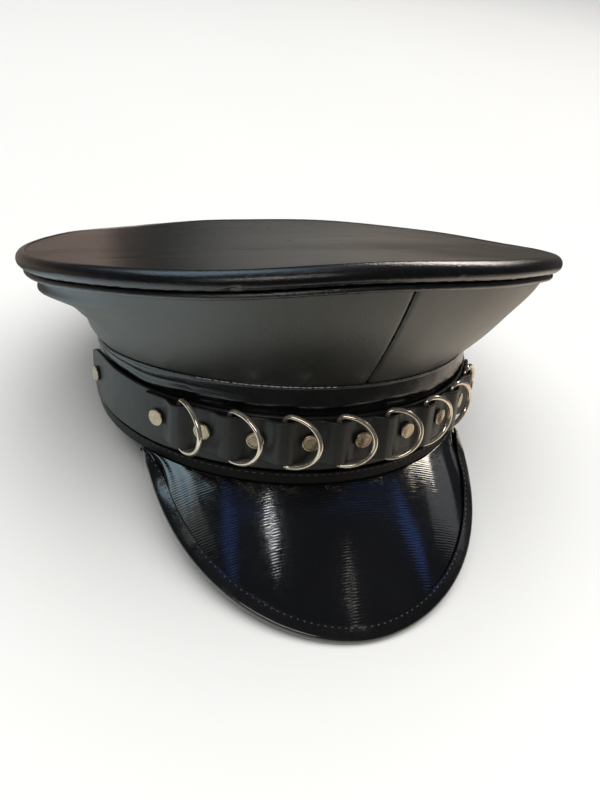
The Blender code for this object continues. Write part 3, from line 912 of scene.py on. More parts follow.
@dataclass
class Crown:
    """The flat top, its rolled rim and piping, and the two side walls."""

    shop: Workshop
    finishes: Finishes
    panel_inset: float = 0.0044
    panel_sink: float = 0.00025
    rim_leg: float = 0.0043
    rim_wall: float = 0.0014
    top_flat: float = 0.35
    wall: float = 0.0016
    wall_proud: float = 0.0006
    wall_short: float = 0.0012
    wall_swell: float = 0.0018
    wall_fold: float = 0.0080
    seam_depth: float = 0.0007
    seam_reach: float = 0.0016
    seam_lean: float = 0.7
    seam_arc: float = 0.115
    crest_dip: float = 0.00006
    leg_gap: float = 0.0007
    back_inset: float = 1.95
    scallop: float = 0.085
    scallop_at: float = math.radians(-66)
    scallop_spread: float = 0.30
    crimp: float = 0.05
    crimp_at: float = math.radians(-38)
    crimp_spread: float = 0.10
    nick_spread: float = math.radians(0.55)
    gather_spread: float = math.radians(1.5)
    # depth, place along X and Y, lean, width, and the place and reach along X of the deepest part
    crease_rows: tuple[tuple[float, float, float, float, float, float, float], ...] = (
        (0.00030, -0.07, -0.062, 0.25, 0.0035, -0.075, 0.030),
        (0.00022, -0.05, -0.040, 0.20, 0.0030, -0.055, 0.035),
    )
    # azimuth and spread in degrees, height and spread as shares of the wall, push as a share of the fold
    fold_rows: tuple[tuple[float, float, float, float, float], ...] = (
        (-104, 34, 0.80, 0.075, 1.10),
        (-100, 28, 0.52, 0.25, -1.30),
        (-100, 28, 0.28, 0.21, -0.32),
        (-65, 5, 0.60, 0.18, 0.20),
        (75, 35, 0.90, 0.27, 0.35),
        (75, 35, 0.20, 0.33, 0.20),
    )
    # azimuth in degrees and depth in millimetres of the small gathers just above the band
    gather_rows: tuple[tuple[float, float], ...] = (
        (-22.5, 0.9),
        (-10.5, 0.9),
        (2.2, 0.7),
        (24.0, 0.3),
        (-31.0, 0.2),
        (-47.0, 0.3),
        (47.0, 0.4),
        (70.0, 0.4),
        (101.0, 0.5),
        (128.0, 0.4),
        (151.0, 0.5),
        (-152.0, 0.4),
        (-127.0, 0.5),
        (174.0, 0.4),
    )
    # azimuth and height round the roll in degrees, depth as a share of its radius
    nick_rows: tuple[tuple[float, float, float], ...] = (
        (-58.8, -35, 0.10),
        (-25.0, -40, 0.20),
        (-24.2, -25, 0.08),
        (12.0, -20, 0.05),
        (96.0, -30, 0.12),
        (-130.0, -35, 0.12),
        (150.0, -40, 0.12),
    )

    def build(self) -> None:
        """Makes every piece of the crown."""
        self.build_top()
        self.build_roll()
        self.build_piping()
        self.build_walls()

    def build_top(self) -> None:
        """The top panel: a level middle blended out to the rim's height, with a rolled-down edge.

        The height is that of the plane through the rim, plus the rim's own difference from it times the
        square of how far out the point is past the flat share. Shallow creases and a slow sag lie on it.
        """
        form = self.shop.form
        azimuth = np.linspace(-math.pi, math.pi, 288, endpoint=False)
        edge = form.rim(azimuth, self.panel_inset, self.panel_sink - form.roll_radius)
        middle = edge.mean(axis=0)
        flat = edge - middle
        slope, *_ = np.linalg.lstsq(flat[:, :2], flat[:, 2], rcond=None)
        level = flat[:, :2] @ slope
        share = np.concatenate([np.linspace(0.004, 0.965, 56), np.linspace(0.975, 1.0, 8)])
        blend = (np.clip(share - self.top_flat, 0, None) / (1 - self.top_flat)) ** 2
        points = middle + share[:, None, None] * flat[None]
        lift = share[:, None] * level[None] + blend[:, None] * (flat[:, 2] - level)[None]
        points[..., 2] = middle[2] + lift
        x, y = points[..., 0], points[..., 1]
        held = 1 - ease((share[:, None] - 0.80) / 0.2)
        swell = 0.00022 * wander(x + 0.4 * y, 0.16, 5) + 0.00006 * wander(y - 0.3 * x, 0.11, 6)
        for depth, across, along, lean, width, middle, reach in self.crease_rows:
            swell -= depth * bump(y - along + lean * (x - across), 0.0, width) * bump(x, middle, reach)
        points[..., 2] += held * swell
        lip = ease((share - 0.994) / 0.006)
        points[..., 2] -= (self.crest_dip * lip**2)[:, None]
        rows = points[::-1]
        self.shop.grid(
            "top_panel", rows, self.finishes.panel, Slot.CROWN, closed=(False, True), wall=self.wall,
            stands_for=("crown_top",),
        )

    def build_roll(self) -> None:
        """The padded rim: a round section whose leather runs on inward as a flat leg to the top panel's seam.

        The section is an arc from the inner foot round the outside to the crest, then the leg and its
        underside. Its radius loses small scallops low on the outer side, where it is sewn to the piping, and
        a few nicks.
        """
        form = self.shop.form
        radius = form.roll_radius
        azimuth = np.linspace(-math.pi, math.pi, 720, endpoint=False)[:, None]
        turn = np.radians(np.linspace(-150, 84, 34))[None]
        arc = azimuth * (form.half_width + form.side_overhang)
        pucker = 0.5 + 0.5 * wander(arc, 0.0085, 11, 3)
        loss = self.scallop * pucker * bump(turn, self.scallop_at, self.scallop_spread)
        loss = loss + self.crimp * bump(turn, self.crimp_at, self.crimp_spread)
        for degrees, height, depth in self.nick_rows:
            spot = bump(azimuth, math.radians(degrees), self.nick_spread)
            loss = loss + depth * spot * bump(turn, math.radians(height), 0.30)
        swell = radius * (1 - loss + 0.010 * wander(arc, 0.055, 12, 3))
        way = np.linspace(0.12, 1.0, 12)[None]
        leg = radius + way * (self.rim_leg - radius) + 0 * azimuth
        crest = radius - self.panel_sink * way**2 - self.crest_dip * ease((way - 0.60) / 0.40) + 0 * azimuth
        back = np.array([[self.rim_leg, self.back_inset * radius, self.back_inset * radius]]) + 0 * azimuth
        under = radius - self.rim_wall - self.leg_gap
        back_height = np.array([[under, under, -0.5 * radius]]) + 0 * azimuth
        inset = np.concatenate([radius - swell * np.cos(turn), leg, back], axis=1)
        height = np.concatenate([swell * np.sin(turn), crest, back_height], axis=1)
        points = form.rim(azimuth, inset, -height)
        self.shop.grid(
            "rim_roll", points, self.finishes.rim, Slot.RIM, closed=(True, True), solid=True,
            stands_for=("crown_roll",),
        )

    def build_piping(self) -> None:
        """The thin cord under the roll, pinched a little by its stitches."""
        form = self.shop.form
        azimuth = np.linspace(-math.pi, math.pi, 720, endpoint=False)
        drop = form.roll_radius + form.clearance + form.piping_radius
        path = form.rim(azimuth, form.roll_radius + form.piping_inset, drop)
        arc = azimuth * (form.half_width + form.side_overhang)
        radius = form.piping_radius * (1.0 + 0.035 * wander(arc, 0.007, 13, 3))
        self.shop.tube(
            "rim_piping", path, radius[:, None], self.finishes.piping, Slot.RIM, sides=14,
            stands_for=("crown_piping",),
        )

    def push(self, azimuth: Array, share: Array) -> Array:
        """How far the wall is pushed out: a general swell, the folds and the gathers, held at both edges.

        Args:
            azimuth: angles round the cap.
            share: shares of the wall's height.

        Returns:
            The push at each share and azimuth, in metres.
        """
        held = np.sin(math.pi * share)
        total = self.wall_swell * held + 0 * azimuth
        for degrees, spread, middle, reach, amount in self.fold_rows:
            across = bump(turn_from(azimuth, math.radians(degrees)), 0.0, math.radians(spread))
            total = total + self.wall_fold * amount * np.sqrt(held) * across * bump(share, middle, reach)
        for degrees, depth in self.gather_rows:
            across = bump(turn_from(azimuth, math.radians(degrees)), 0.0, self.gather_spread)
            total = total + 0.001 * depth * across * bump(share, 0.07, 0.09) * ease(share / 0.04)
        loose = 0.00035 * wander(azimuth, 0.9, 21) * bump(share, 0.45, 0.4)
        return total + held * loose

    def wall_surface(self, azimuth: Array, share: Array) -> Array:
        """The wall's outer face on a grid of shares by azimuths.

        Each line runs straight from the band's top to the inner side of the piping, which it touches, and the
        push is square to it.

        Args:
            azimuth: angles round the cap.
            share: shares of the wall's height.

        Returns:
            Points, as shares by azimuths by 3.
        """
        form = self.shop.form
        foot = form.polar(azimuth, self.wall_proud, form.top(azimuth) + form.clearance)
        drop = form.roll_radius + form.clearance + form.piping_radius
        cord = form.rim(azimuth, form.roll_radius + form.piping_inset, drop)
        across = np.hypot(cord[:, 0] - foot[:, 0], cord[:, 1] - foot[:, 1])
        rise = cord[:, 2] - foot[:, 2]
        keep_off = form.piping_radius + form.clearance
        span = np.hypot(across, rise)
        angle = np.arctan2(rise, across) + np.arcsin(keep_off / span)
        length = np.sqrt(span**2 - keep_off**2) - self.wall_short
        share = share[:, None]
        push = self.push(azimuth[None], share)
        run = share * length * np.cos(angle) + push * np.sin(angle)
        climb = share * length * np.sin(angle) - push * np.cos(angle)
        points = foot[None] + run[..., None] * outward(azimuth)[None]
        points[..., 2] += climb
        return points

    def build_walls(self) -> None:
        """The two side panels, whose edges turn in where they are sewn together."""
        form = self.shop.form
        share = np.linspace(0, 1, 84)
        gap = form.clearance / 2 / form.half_length
        for name, start in (("wall_right", form.seam), ("wall_left", form.seam - math.pi)):
            middle = np.linspace(0.02, 0.98, 200)
            lip = np.linspace(0, 0.02, 9)[:-1]
            turn = np.concatenate([lip, middle, 1 - lip[::-1]])
            azimuth = start + gap + turn * (math.pi - 2 * gap)
            points = self.wall_surface(azimuth, share)
            reach = np.minimum(turn, 1 - turn) * math.pi * self.seam_arc
            fold = (1 - np.clip(reach / self.seam_reach, 0, 1)) ** 2
            pucker = 1 + 0.15 * wander(share * 0.06, 0.006, 31, 2)
            tuck = self.seam_depth * self.seam_lean * fold[None] * pucker[:, None]
            points = points + (UP - outward(azimuth)[None]) * tuck[..., None]
            self.shop.grid(
                name, points, self.finishes.crown, Slot.CROWN, wall=self.wall,
                stands_for=(name.replace("wall", "crown_wall"),),
            )


@dataclass
class HeadBand:
    """The upright band, its hem, and their stitches."""

    shop: Workshop
    finishes: Finishes
    band_wall: float = 0.0022
    hem_wall: float = 0.0010
    hem_height: float = 0.0045
    hem_front: float = 0.0010
    fold_drop: float = 0.0084
    fold_rise: float = 0.0032
    fold_out: float = 0.0009
    bead: float = 0.00045
    fold_near: float = 0.0026
    fold_wander: float = 0.0009
    slack_at: float = math.radians(-62)
    slack_spread: float = 0.42
    slack_out: float = 0.0002
    wrap_from: float = 0.61

    def build(self) -> None:
        """Makes the band, hem and stitches."""
        self.build_band()
        self.build_hem()
        self.build_stitches()

    def hem_top(self, azimuth: Array) -> Array:
        """Height of the hem's stitched edge."""
        form = self.shop.form
        return form.foot(azimuth) + self.hem_height + self.hem_front * np.maximum(0, np.cos(azimuth))

    def build_band(self) -> None:
        """The band: an upright wall whose wrap makes a soft ridge above the straps.

        The outer face stands out by a bell that rises slowly from the crown's seam to the ridge and drops
        quickly below it. The ridge lies nearer the seam where the seam sags, and its height wanders. A small
        bead runs along the very top, and on the left two slack folds run just above the ridge.
        """
        form = self.shop.form
        azimuth = np.linspace(-math.pi, math.pi, 480, endpoint=False)
        rows = (np.linspace(0, 0.60, 10), np.linspace(0.62, 0.94, 40), np.linspace(0.945, 1.0, 14))
        share = np.concatenate(rows)
        low, high = form.foot(azimuth), form.top(azimuth)
        height = low[:, None] + (high - low)[:, None] * share[None]
        drop = self.fold_drop - (self.fold_drop - self.fold_near) * form.sag(azimuth)
        ridge = high - drop + self.fold_wander * wander(azimuth, 0.8, 41, 5)
        past = height - ridge[:, None]
        above = np.clip(past, 0, None) / np.maximum(high - ridge, 0.001)[:, None]
        below = np.clip(-past, 0, None) / self.fold_rise
        out = self.fold_out * np.where(past > 0, 1 - above**1.2, 1 - ease(below) * 1.15)
        out = out + 0.00012 * wander(azimuth, 0.35, 42)[:, None] * ease(above * 3 + below)
        slack = self.slack_out * bump(azimuth, self.slack_at, self.slack_spread)[:, None]
        drift = 0.70 + 0.25 * (azimuth[:, None] + 1.1)
        out = out + slack * (bump(above, drift, 0.10) + bump(above, 0.36, 0.09))
        bead = self.bead * (1 - 0.7 * form.sag(azimuth))[:, None]
        out = out + bead * bump(height - high[:, None], -0.0007, 0.00055)
        out = np.where(share[None] < self.wrap_from, np.minimum(out, 0.0), out)
        face = form.polar(azimuth[:, None], out, height)
        inner = form.polar(azimuth[:, None], -self.band_wall, height[:, ::-4])
        points = np.concatenate([face, inner], axis=1)
        self.shop.grid(
            "band_wrap", points, self.finishes.band, Slot.BAND, closed=(True, True), solid=True,
            stands_for=("band",),
        )

    def build_hem(self) -> None:
        """The folded hem: a strip with round edges."""
        form = self.shop.form
        azimuth = np.linspace(-math.pi, math.pi, 480, endpoint=False)
        low, high = form.foot(azimuth), self.hem_top(azimuth)
        out, height = rounded_section(self.hem_wall, low, high, 0.00045)
        points = form.polar(azimuth[:, None], out + form.clearance, height)
        self.shop.grid(
            "band_hem", points, self.finishes.hem, Slot.BAND, closed=(True, True), solid=True,
            stands_for=("band_welt",),
        )

    def build_stitches(self) -> None:
        """Stitches along the hem and along the crown's seam, with a painted highlight: paler thread on one
        arc of the crown's seam.
        """
        form = self.shop.form
        hem = np.linspace(-math.pi, math.pi, 180, endpoint=False)
        reach = 2 * math.pi / 180 * 0.33
        starts = form.polar(hem - reach, 0.00130, self.hem_top(hem) - 0.0011)
        ends = form.polar(hem + reach, 0.00130, self.hem_top(hem) - 0.0011)
        self.shop.stitches(
            "hem_stitches", starts, ends, outward(hem), 0.00042, self.finishes.dark_thread, Slot.BAND
        )
        turns = np.linspace(-math.pi, math.pi, 230, endpoint=False)
        turns = turns + math.radians(0.25) * wander(turns, 0.07, 44, 3)
        reach = 2 * math.pi / 230 * (0.44 + 0.08 * wander(turns, 0.05, 45, 3))
        # painted highlight: this arc of the crown's seam gets the pale thread and the rest the dark one,
        # though it is one thread
        painted_highlight_arc = (turns > math.radians(-38)) & (turns < math.radians(-2))
        for name, picked, finish in (
            ("crown_stitches_painted_highlight", painted_highlight_arc, self.finishes.thread),
            ("crown_stitches", ~painted_highlight_arc, self.finishes.dark_thread),
        ):
            seam, half = turns[picked], reach[picked]
            starts = form.polar(seam - half, self.bead + 0.00008, form.top(seam) - 0.00045)
            ends = form.polar(seam + half, self.bead + 0.00008, form.top(seam) - 0.00045)
            self.shop.stitches(name, starts, ends, outward(seam), 0.00050, finish, Slot.BAND)


@dataclass
class Straps:
    """The wide strap, the ring strap over it, the D-rings and the rivets."""

    shop: Workshop
    finishes: Finishes
    wide_width: float = 0.0249
    wide_foot: float = 0.0038
    wide_end_rise: float = 0.0016
    wide_tip: float = 0.0048
    wide_clip: float = 0.0050
    wide_low_clip: float = 0.0110
    wide_high_clip: float = 0.0022
    side_turn: float = math.radians(33.5)
    loose_from: float = math.radians(-76.0)
    loose_to: float = math.radians(-86.0)
    loose_stand: float = 0.0024
    ring_width: float = 0.0201
    ring_foot: float = 0.0083
    ring_tip: float = 0.0085
    ring_clip: float = 0.0022
    hump_spare: float = 0.0006
    ring_half_length: float = 0.01165
    ring_reach: float = 0.0159
    ring_corner: float = 0.0030
    rivet_radius: float = 0.0038
    rivet_height: float = 0.0012
    ring_stands: tuple[float, ...] = (25, 20, 17, 21, 22, 12, 14, 10)

    def build(self) -> None:
        """Makes the straps, rings and rivets."""
        self.build_wide()
        self.build_ring_strap()
        for index in range(len(self.ring_stands)):
            self.build_ring(index)
        self.build_rivets()

    @property
    def last_rivet(self) -> float:
        """Azimuth of the last rivet on the ring strap."""
        return self.shop.form.first_rivet + len(self.ring_stands) * self.shop.form.pitch

    def stand_off(self, azimuth: Array) -> Array:
        """How much further out the wide strap's loose left end lies: by the square of the way to its end."""
        share = np.clip((azimuth - self.loose_from) / (self.loose_to - self.loose_from), 0, None)
        return self.loose_stand * share**2

    def strap_facing(self, azimuth: float) -> float:
        """The turn about Z that carries -Y to the wide strap's outward normal, a rivet's radius to each side.

        Args:
            azimuth: where the rivet stands.

        Returns:
            The turn in radians.
        """
        form = self.shop.form
        turns = azimuth + np.array([-1, 1]) * self.rivet_radius / form.half_length
        near, far = form.polar(turns, form.strap_out + self.stand_off(turns), 0.0)
        return math.atan2(far[1] - near[1], far[0] - near[0])

    def wide_low(self, azimuth: Array) -> Array:
        """Height of the wide strap's lower edge."""
        return self.wide_foot + self.wide_end_rise * (1 - np.cos(azimuth)) ** 2

    def strip(self, start: float, end: float, tip: float, count: int) -> tuple[Array, Array]:
        """Stations along a strap and how fully its corners are clipped at each.

        Args:
            start: azimuth of its first end.
            end: azimuth of its last end.
            tip: length of the clipped corner, as an angle.
            count: stations between the corners.

        Returns:
            Azimuths, and shares that fall from 1 at each end as a slightly rounded corner.
        """
        fine = np.array([0.0, 0.03, 0.10, 0.22, 0.40, 0.62, 0.84])
        middle = np.linspace(start + tip, end - tip, count)
        azimuth = np.concatenate([start + tip * fine, middle, (end - tip * fine)[::-1]])
        reach = np.minimum(azimuth - start, end - azimuth) / tip
        return azimuth, (1 - np.clip(reach, 0, 1)) ** 1.2

    def build_wide(self) -> None:
        """The wide strap: a round-edged strip whose left end stands off the band."""
        form = self.shop.form
        start = form.first_rivet - self.side_turn - self.wide_tip / form.half_length
        end = self.last_rivet + self.side_turn + self.wide_tip / form.half_length
        azimuth, clip = self.strip(start, end, self.wide_clip / form.half_length, 260)
        low = self.wide_low(azimuth) + self.wide_low_clip * clip
        high = self.wide_low(azimuth) + self.wide_width - self.wide_high_clip * clip
        out, height = rounded_section(form.strap_wall, low, high, 0.00055)
        wave = 0.00014 * wander(azimuth, 0.5, 51)[:, None] * (out > form.strap_wall * 0.6)
        lift = self.stand_off(azimuth)[:, None] + form.clearance
        points = form.polar(azimuth[:, None], out + lift + wave, height)
        self.shop.grid(
            "strap_wide", points, self.finishes.strap, Slot.STRAP, closed=(False, True), solid=True,
            stands_for=("wide_strap",),
        )

    def hump(self, azimuth: Array) -> Array:
        """The strap's lift over each ring's bar: a rise from the rivet, a crest over the bar, and a fall.

        Args:
            azimuth: angles round the cap.

        Returns:
            The lift at each azimuth, as a share of the crest's.
        """
        form = self.shop.form
        place = (azimuth - form.first_rivet) / form.pitch
        share = place - np.floor(place)
        inside = (place > 0) & (place < len(self.ring_stands))
        crest = ease((share - 0.13) / 0.33) * (1 - ease((share - 0.54) / 0.33))
        return np.where(inside, crest, 0.0)

    def build_ring_strap(self) -> None:
        """The ring strap: a round-edged strip that humps over every bar."""
        form = self.shop.form
        tip = self.ring_tip / form.half_length
        start, end = form.first_rivet - tip, self.last_rivet + tip
        azimuth, clip = self.strip(start, end, self.ring_clip / form.half_length, 330)
        low = self.ring_foot + self.ring_clip * clip
        high = self.ring_foot + self.ring_width - self.ring_clip * clip
        out, height = rounded_section(form.strap_wall, low, high, 0.00055)
        crest = form.wire + form.clearance + self.hump_spare
        lift = self.stand_off(azimuth) + form.strap_out + form.clearance + crest * self.hump(azimuth)
        points = form.polar(azimuth[:, None], out + lift[:, None], height)
        self.shop.grid(
            "strap_ringed", points, self.finishes.strap, Slot.STRAP, closed=(False, True), solid=True,
            stands_for=("ring_strap",),
        )

    def ring_outline(self) -> Array:
        """A D's centre line: quarter circles join its bar to a half ellipse.

        Returns:
            Each point's reach from the bar, and its height.
        """
        straight = self.ring_half_length - self.ring_corner
        bar = np.linspace(0, straight, 8)[:-1]
        corner = np.linspace(math.pi, math.pi / 2, 14)[:-1]
        arc = np.linspace(math.pi / 2, 0, 46)
        reach = self.ring_reach - self.ring_corner
        out = np.concatenate(
            [0 * bar, self.ring_corner * (1 + np.cos(corner)), self.ring_corner + reach * np.cos(arc)]
        )
        round_end = self.ring_half_length * np.sin(arc)
        up = np.concatenate([bar, straight + self.ring_corner * np.sin(corner), round_end])
        return np.stack([np.append(out, out[-2:0:-1]), np.append(up, -up[-2:0:-1])], axis=-1)

    def build_ring(self, index: int) -> None:
        """One D-ring: round wire along the D, standing off the strap by its own angle about its bar.

        Args:
            index: which ring, from 0 at the left.
        """
        form = self.shop.form
        azimuth = form.first_rivet + (index + 0.5) * form.pitch
        turn = form.facing(azimuth) - math.radians(self.ring_stands[index])
        outline = self.ring_outline()
        reach = np.array([math.cos(turn), math.sin(turn), 0.0])
        bar = form.polar(np.array(azimuth), form.ring_bar_out, form.strap_centre)
        path = bar + outline[:, :1] * reach + outline[:, 1:] * UP
        square = np.array([math.sin(turn), -math.cos(turn), 0.0])
        self.shop.tube(
            f"ring_{index + 1}_wire", path, form.wire / 2, self.finishes.nickel, Slot.NICKEL, up=square,
            body=f"ring_{index + 1}", stands_for=(f"d_ring_{index + 1}",),
        )

    def build_rivets(self) -> None:
        """The rivet caps on both straps."""
        form = self.shop.form
        for index in range(len(self.ring_stands) + 1):
            azimuth = form.first_rivet + index * form.pitch
            out = form.ring_strap_out + float(self.stand_off(np.array(azimuth)))
            self.build_rivet(f"rivet_{index + 1}", azimuth, out, form.strap_centre)
        sides = (
            ("rivet_side_left", form.first_rivet - self.side_turn),
            ("rivet_side_right", self.last_rivet + self.side_turn),
        )
        for node, azimuth in sides:
            middle = float(self.wide_low(np.array(azimuth))) + self.wide_width / 2
            out = form.strap_out + float(self.stand_off(np.array(azimuth)))
            self.build_rivet(node, azimuth, out, middle)

    def build_rivet(self, node: str, azimuth: float, out: float, height: float) -> None:
        """A turned cap: a nearly flat face inside a rounded edge, on a flat base.

        The profile is the cap's height at each share of its radius: a flat dome, then a part of a circle.

        Args:
            node: the CAD node that it replaces.
            azimuth: its angle round the cap.
            out: how far its base stands from the band's face.
            height: its middle's height.
        """
        form = self.shop.form
        roll = np.linspace(1.9, -0.35, 12)
        dome = np.array([0.003, 0.15, 0.3, 0.45, 0.58, 0.66])
        share = np.concatenate([dome, 0.84 + 0.16 * np.cos(roll), [0.95, 0.90]])
        lift = np.concatenate([0.95 - 0.02 * dome**2, 0.72 + 0.28 * np.sin(roll), [0.3, 0.0]])
        turn = np.linspace(0, 2 * math.pi, 40, endpoint=False)
        facing = self.strap_facing(azimuth)
        normal = np.array([math.sin(facing), -math.cos(facing), 0.0])
        side = np.array([math.cos(facing), math.sin(facing), 0.0])
        centre = form.polar(np.array(azimuth), out + form.clearance, height)
        spoke = side * np.cos(turn)[:, None] + UP * np.sin(turn)[:, None]
        points = (
            centre
            + (self.rivet_radius * share)[:, None, None] * spoke[None]
            + (self.rivet_height * lift)[:, None, None] * normal
        )
        self.shop.grid(
            node.replace("rivet", "cap_rivet"), points, self.finishes.rivet, Slot.NICKEL,
            closed=(False, True), solid=True, stands_for=(node,),
        )


@dataclass
class Peak:
    """The glossy peak, its bound edge and the stitches beside it."""

    shop: Workshop
    finishes: Finishes
    half_angle: float = math.radians(57.8)
    length: float = 0.0662
    slope: float = math.radians(38.5)
    side_slope: float = math.radians(3.7)
    fullness: float = 1.845
    taper: float = 1.46
    board: float = 0.0016
    tuck: float = 0.0020
    bow: float = 0.0016
    binding_width: float = 0.0062
    binding_wall: float = 0.0010
    board_end: float = math.radians(76.0)
    binding_end: float = math.radians(74.5)
    hem_out: float = 0.0013
    wrinkle: float = 0.0013
    wrinkle_waves: float = 9.0
    wrinkle_fan: float = 38.0
    thin_from: float = 0.0045
    stitch_pitch: float = 0.0029
    stitch_inset: float = 0.0009
    stitch_half: float = 0.00065

    def build(self) -> None:
        """Makes the peak, binding and stitches."""
        self.build_board()
        self.build_binding()

    def lengths(self, share: Array) -> Array:
        """How far the finished edge lies from the band: a rounded front that tapers to both ends."""
        return self.length * (1 - np.abs(share) ** self.fullness) ** self.taper

    def board_lengths(self, share: Array) -> Array:
        """How far the board runs: short of the finished edge by the binding's fold.

        Args:
            share: place along the band, -1 to 1.

        Returns:
            The board's length at each share.
        """
        full = self.lengths(share)
        fold = self.shop.form.clearance + self.binding_wall
        return full - fold * full / (full + fold)

    def surface(self, share: Array, reach: Array) -> Array:
        """The upper face.

        Args:
            share: place along the band, -1 to 1.
            reach: distance out from the band.

        Returns:
            Points on lines that leave the band outward and down, a little steeper at the sides, with a gentle
            arch: four times the share of the way by what is left of it. Small wrinkles fan from both corners.
        """
        form = self.shop.form
        azimuth = share * self.half_angle
        slope = self.slope + self.side_slope * share**2
        line = outward(azimuth) * np.cos(slope)[..., None]
        line[..., 2] = -np.sin(slope)
        root = form.polar(azimuth, self.hem_out, form.foot(azimuth) - form.clearance)
        full = self.lengths(share)
        way = np.clip(reach / full, 0, 1)
        points = root + reach[..., None] * line
        corner = ease((np.abs(share) - 0.45) / 0.4)
        ripple = np.sin(way * self.wrinkle_waves + self.wrinkle_fan * np.abs(share))
        arch = self.bow * (full / self.length) * 4 + self.wrinkle * corner * ripple
        points[..., 2] += arch * way * (1 - way)
        return points

    def build_board(self) -> None:
        """The board: a grid of lines out from under the hem, with its thickness below."""
        form = self.shop.form
        share = np.sin(np.linspace(-self.board_end, self.board_end, 241))
        azimuth = share * self.half_angle
        lengths = self.board_lengths(share)
        tucked = form.polar(azimuth, self.hem_out - self.tuck, form.foot(azimuth) - form.clearance)
        way = np.linspace(0, 1, 64)[:, None]
        points = np.concatenate([tucked[None], self.surface(share + 0 * way, way * lengths)])
        self.shop.grid(
            "peak_board", points[::-1], self.finishes.peak, Slot.PATENT, wall=self.board, stands_for=("peak",)
        )

    def build_binding(self) -> None:
        """The binding: a U section carried along the board's edge, and the stitches beside it.

        Each point of the section runs in towards the band by a share of the binding's width, then out past
        the board by its reach, and stands above the board's upper face by its lift.
        """
        form = self.shop.form
        share = np.sin(np.linspace(-self.binding_end, self.binding_end, 341))
        lengths = self.board_lengths(share)
        thin = np.clip(lengths / self.thin_from, 0.4, 1.0)[:, None]
        edge = self.surface(share, lengths)
        inward = edge - self.surface(share, lengths * 0.9)
        along = unit(np.gradient(edge, axis=0))
        upward = unit(np.cross(along, inward))
        upward *= np.sign(upward[:, 2:3])
        out = np.cross(upward, along)
        out *= np.sign(np.sum(out * inward, axis=1, keepdims=True))
        width = np.minimum(self.binding_width - self.binding_wall - form.clearance, lengths * 0.6)
        near, far = form.clearance, form.clearance + self.binding_wall
        half, spare = self.board / 2, 0.8 * form.clearance
        turn = np.linspace(math.pi / 2, -math.pi / 2, 13)
        legs = [[-1.0, -0.98, -0.7, -0.35], 0 * turn, [-0.35, -0.7, -1.0], [-1.0, -0.5, 0, 0, -0.5]]
        legs = np.concatenate(legs)
        outer = 0.8 * (half + far) * np.cos(turn)
        reach = np.concatenate([np.zeros(4), outer, np.zeros(5), [spare, spare, 0]])
        lift = np.concatenate(
            [
                [near + 0.0003, far - 0.0001, far, far],
                -half + (half + far) * np.sin(turn),
                [-self.board - far, -self.board - far, -self.board - far + 0.0004],
                [-self.board - near, -self.board - near, -self.board - near, near, near],
            ]
        )
        arc = lengths_along(edge)[:-1]
        pinch = 1 + 0.03 * wander(arc, 0.011, 61, 3)
        points = (
            edge[:, None]
            + out[:, None] * (width[:, None] * legs[None] + thin * reach[None])[..., None]
            + upward[:, None] * (thin * lift[None] * pinch[:, None])[..., None]
        )
        self.shop.grid(
            "peak_edge", points, self.finishes.binding, Slot.BINDING, closed=(False, True), solid=True,
            stands_for=("peak_binding",),
        )
        count = int(arc[-1] / self.stitch_pitch)
        middles = (np.arange(2, count - 2) + 0.5) * arc[-1] / count
        row = edge - out * (width - self.stitch_inset)[:, None] + upward * (far - 0.0001)
        spots = [
            np.stack([np.interp(middles + step, arc, row[:, k]) for k in range(3)], axis=-1)
            for step in (-self.stitch_half, self.stitch_half)
        ]
        normals = unit(np.stack([np.interp(middles, arc, upward[:, k]) for k in range(3)], axis=-1))
        self.shop.stitches(
            "peak_stitches", spots[0], spots[1], normals, 0.00055, self.finishes.dark_thread, Slot.BINDING
        )


class Reach(Enum):
    """Which kind of shine a light gives."""

    ALL = "all"
    FLAT = "flat"
    GLOSS = "gloss"


@dataclass(frozen=True)
class Softbox:
    """A rectangular light aimed at the cap: angles in degrees, distance, width and height in metres."""

    name: str
    azimuth: float
    elevation: float
    distance: float
    width: float
    height: float
    watts: float
    colour: Colour = (1.0, 0.97, 0.93)
    reach: Reach = Reach.ALL


@dataclass(frozen=True)
class Tube:
    """A thin level ceiling light: its start, end and width, each for a metre of height above the peak."""

    name: str
    start: tuple[float, float]
    end: tuple[float, float]
    width: float
    radiance: float
    colour: Colour


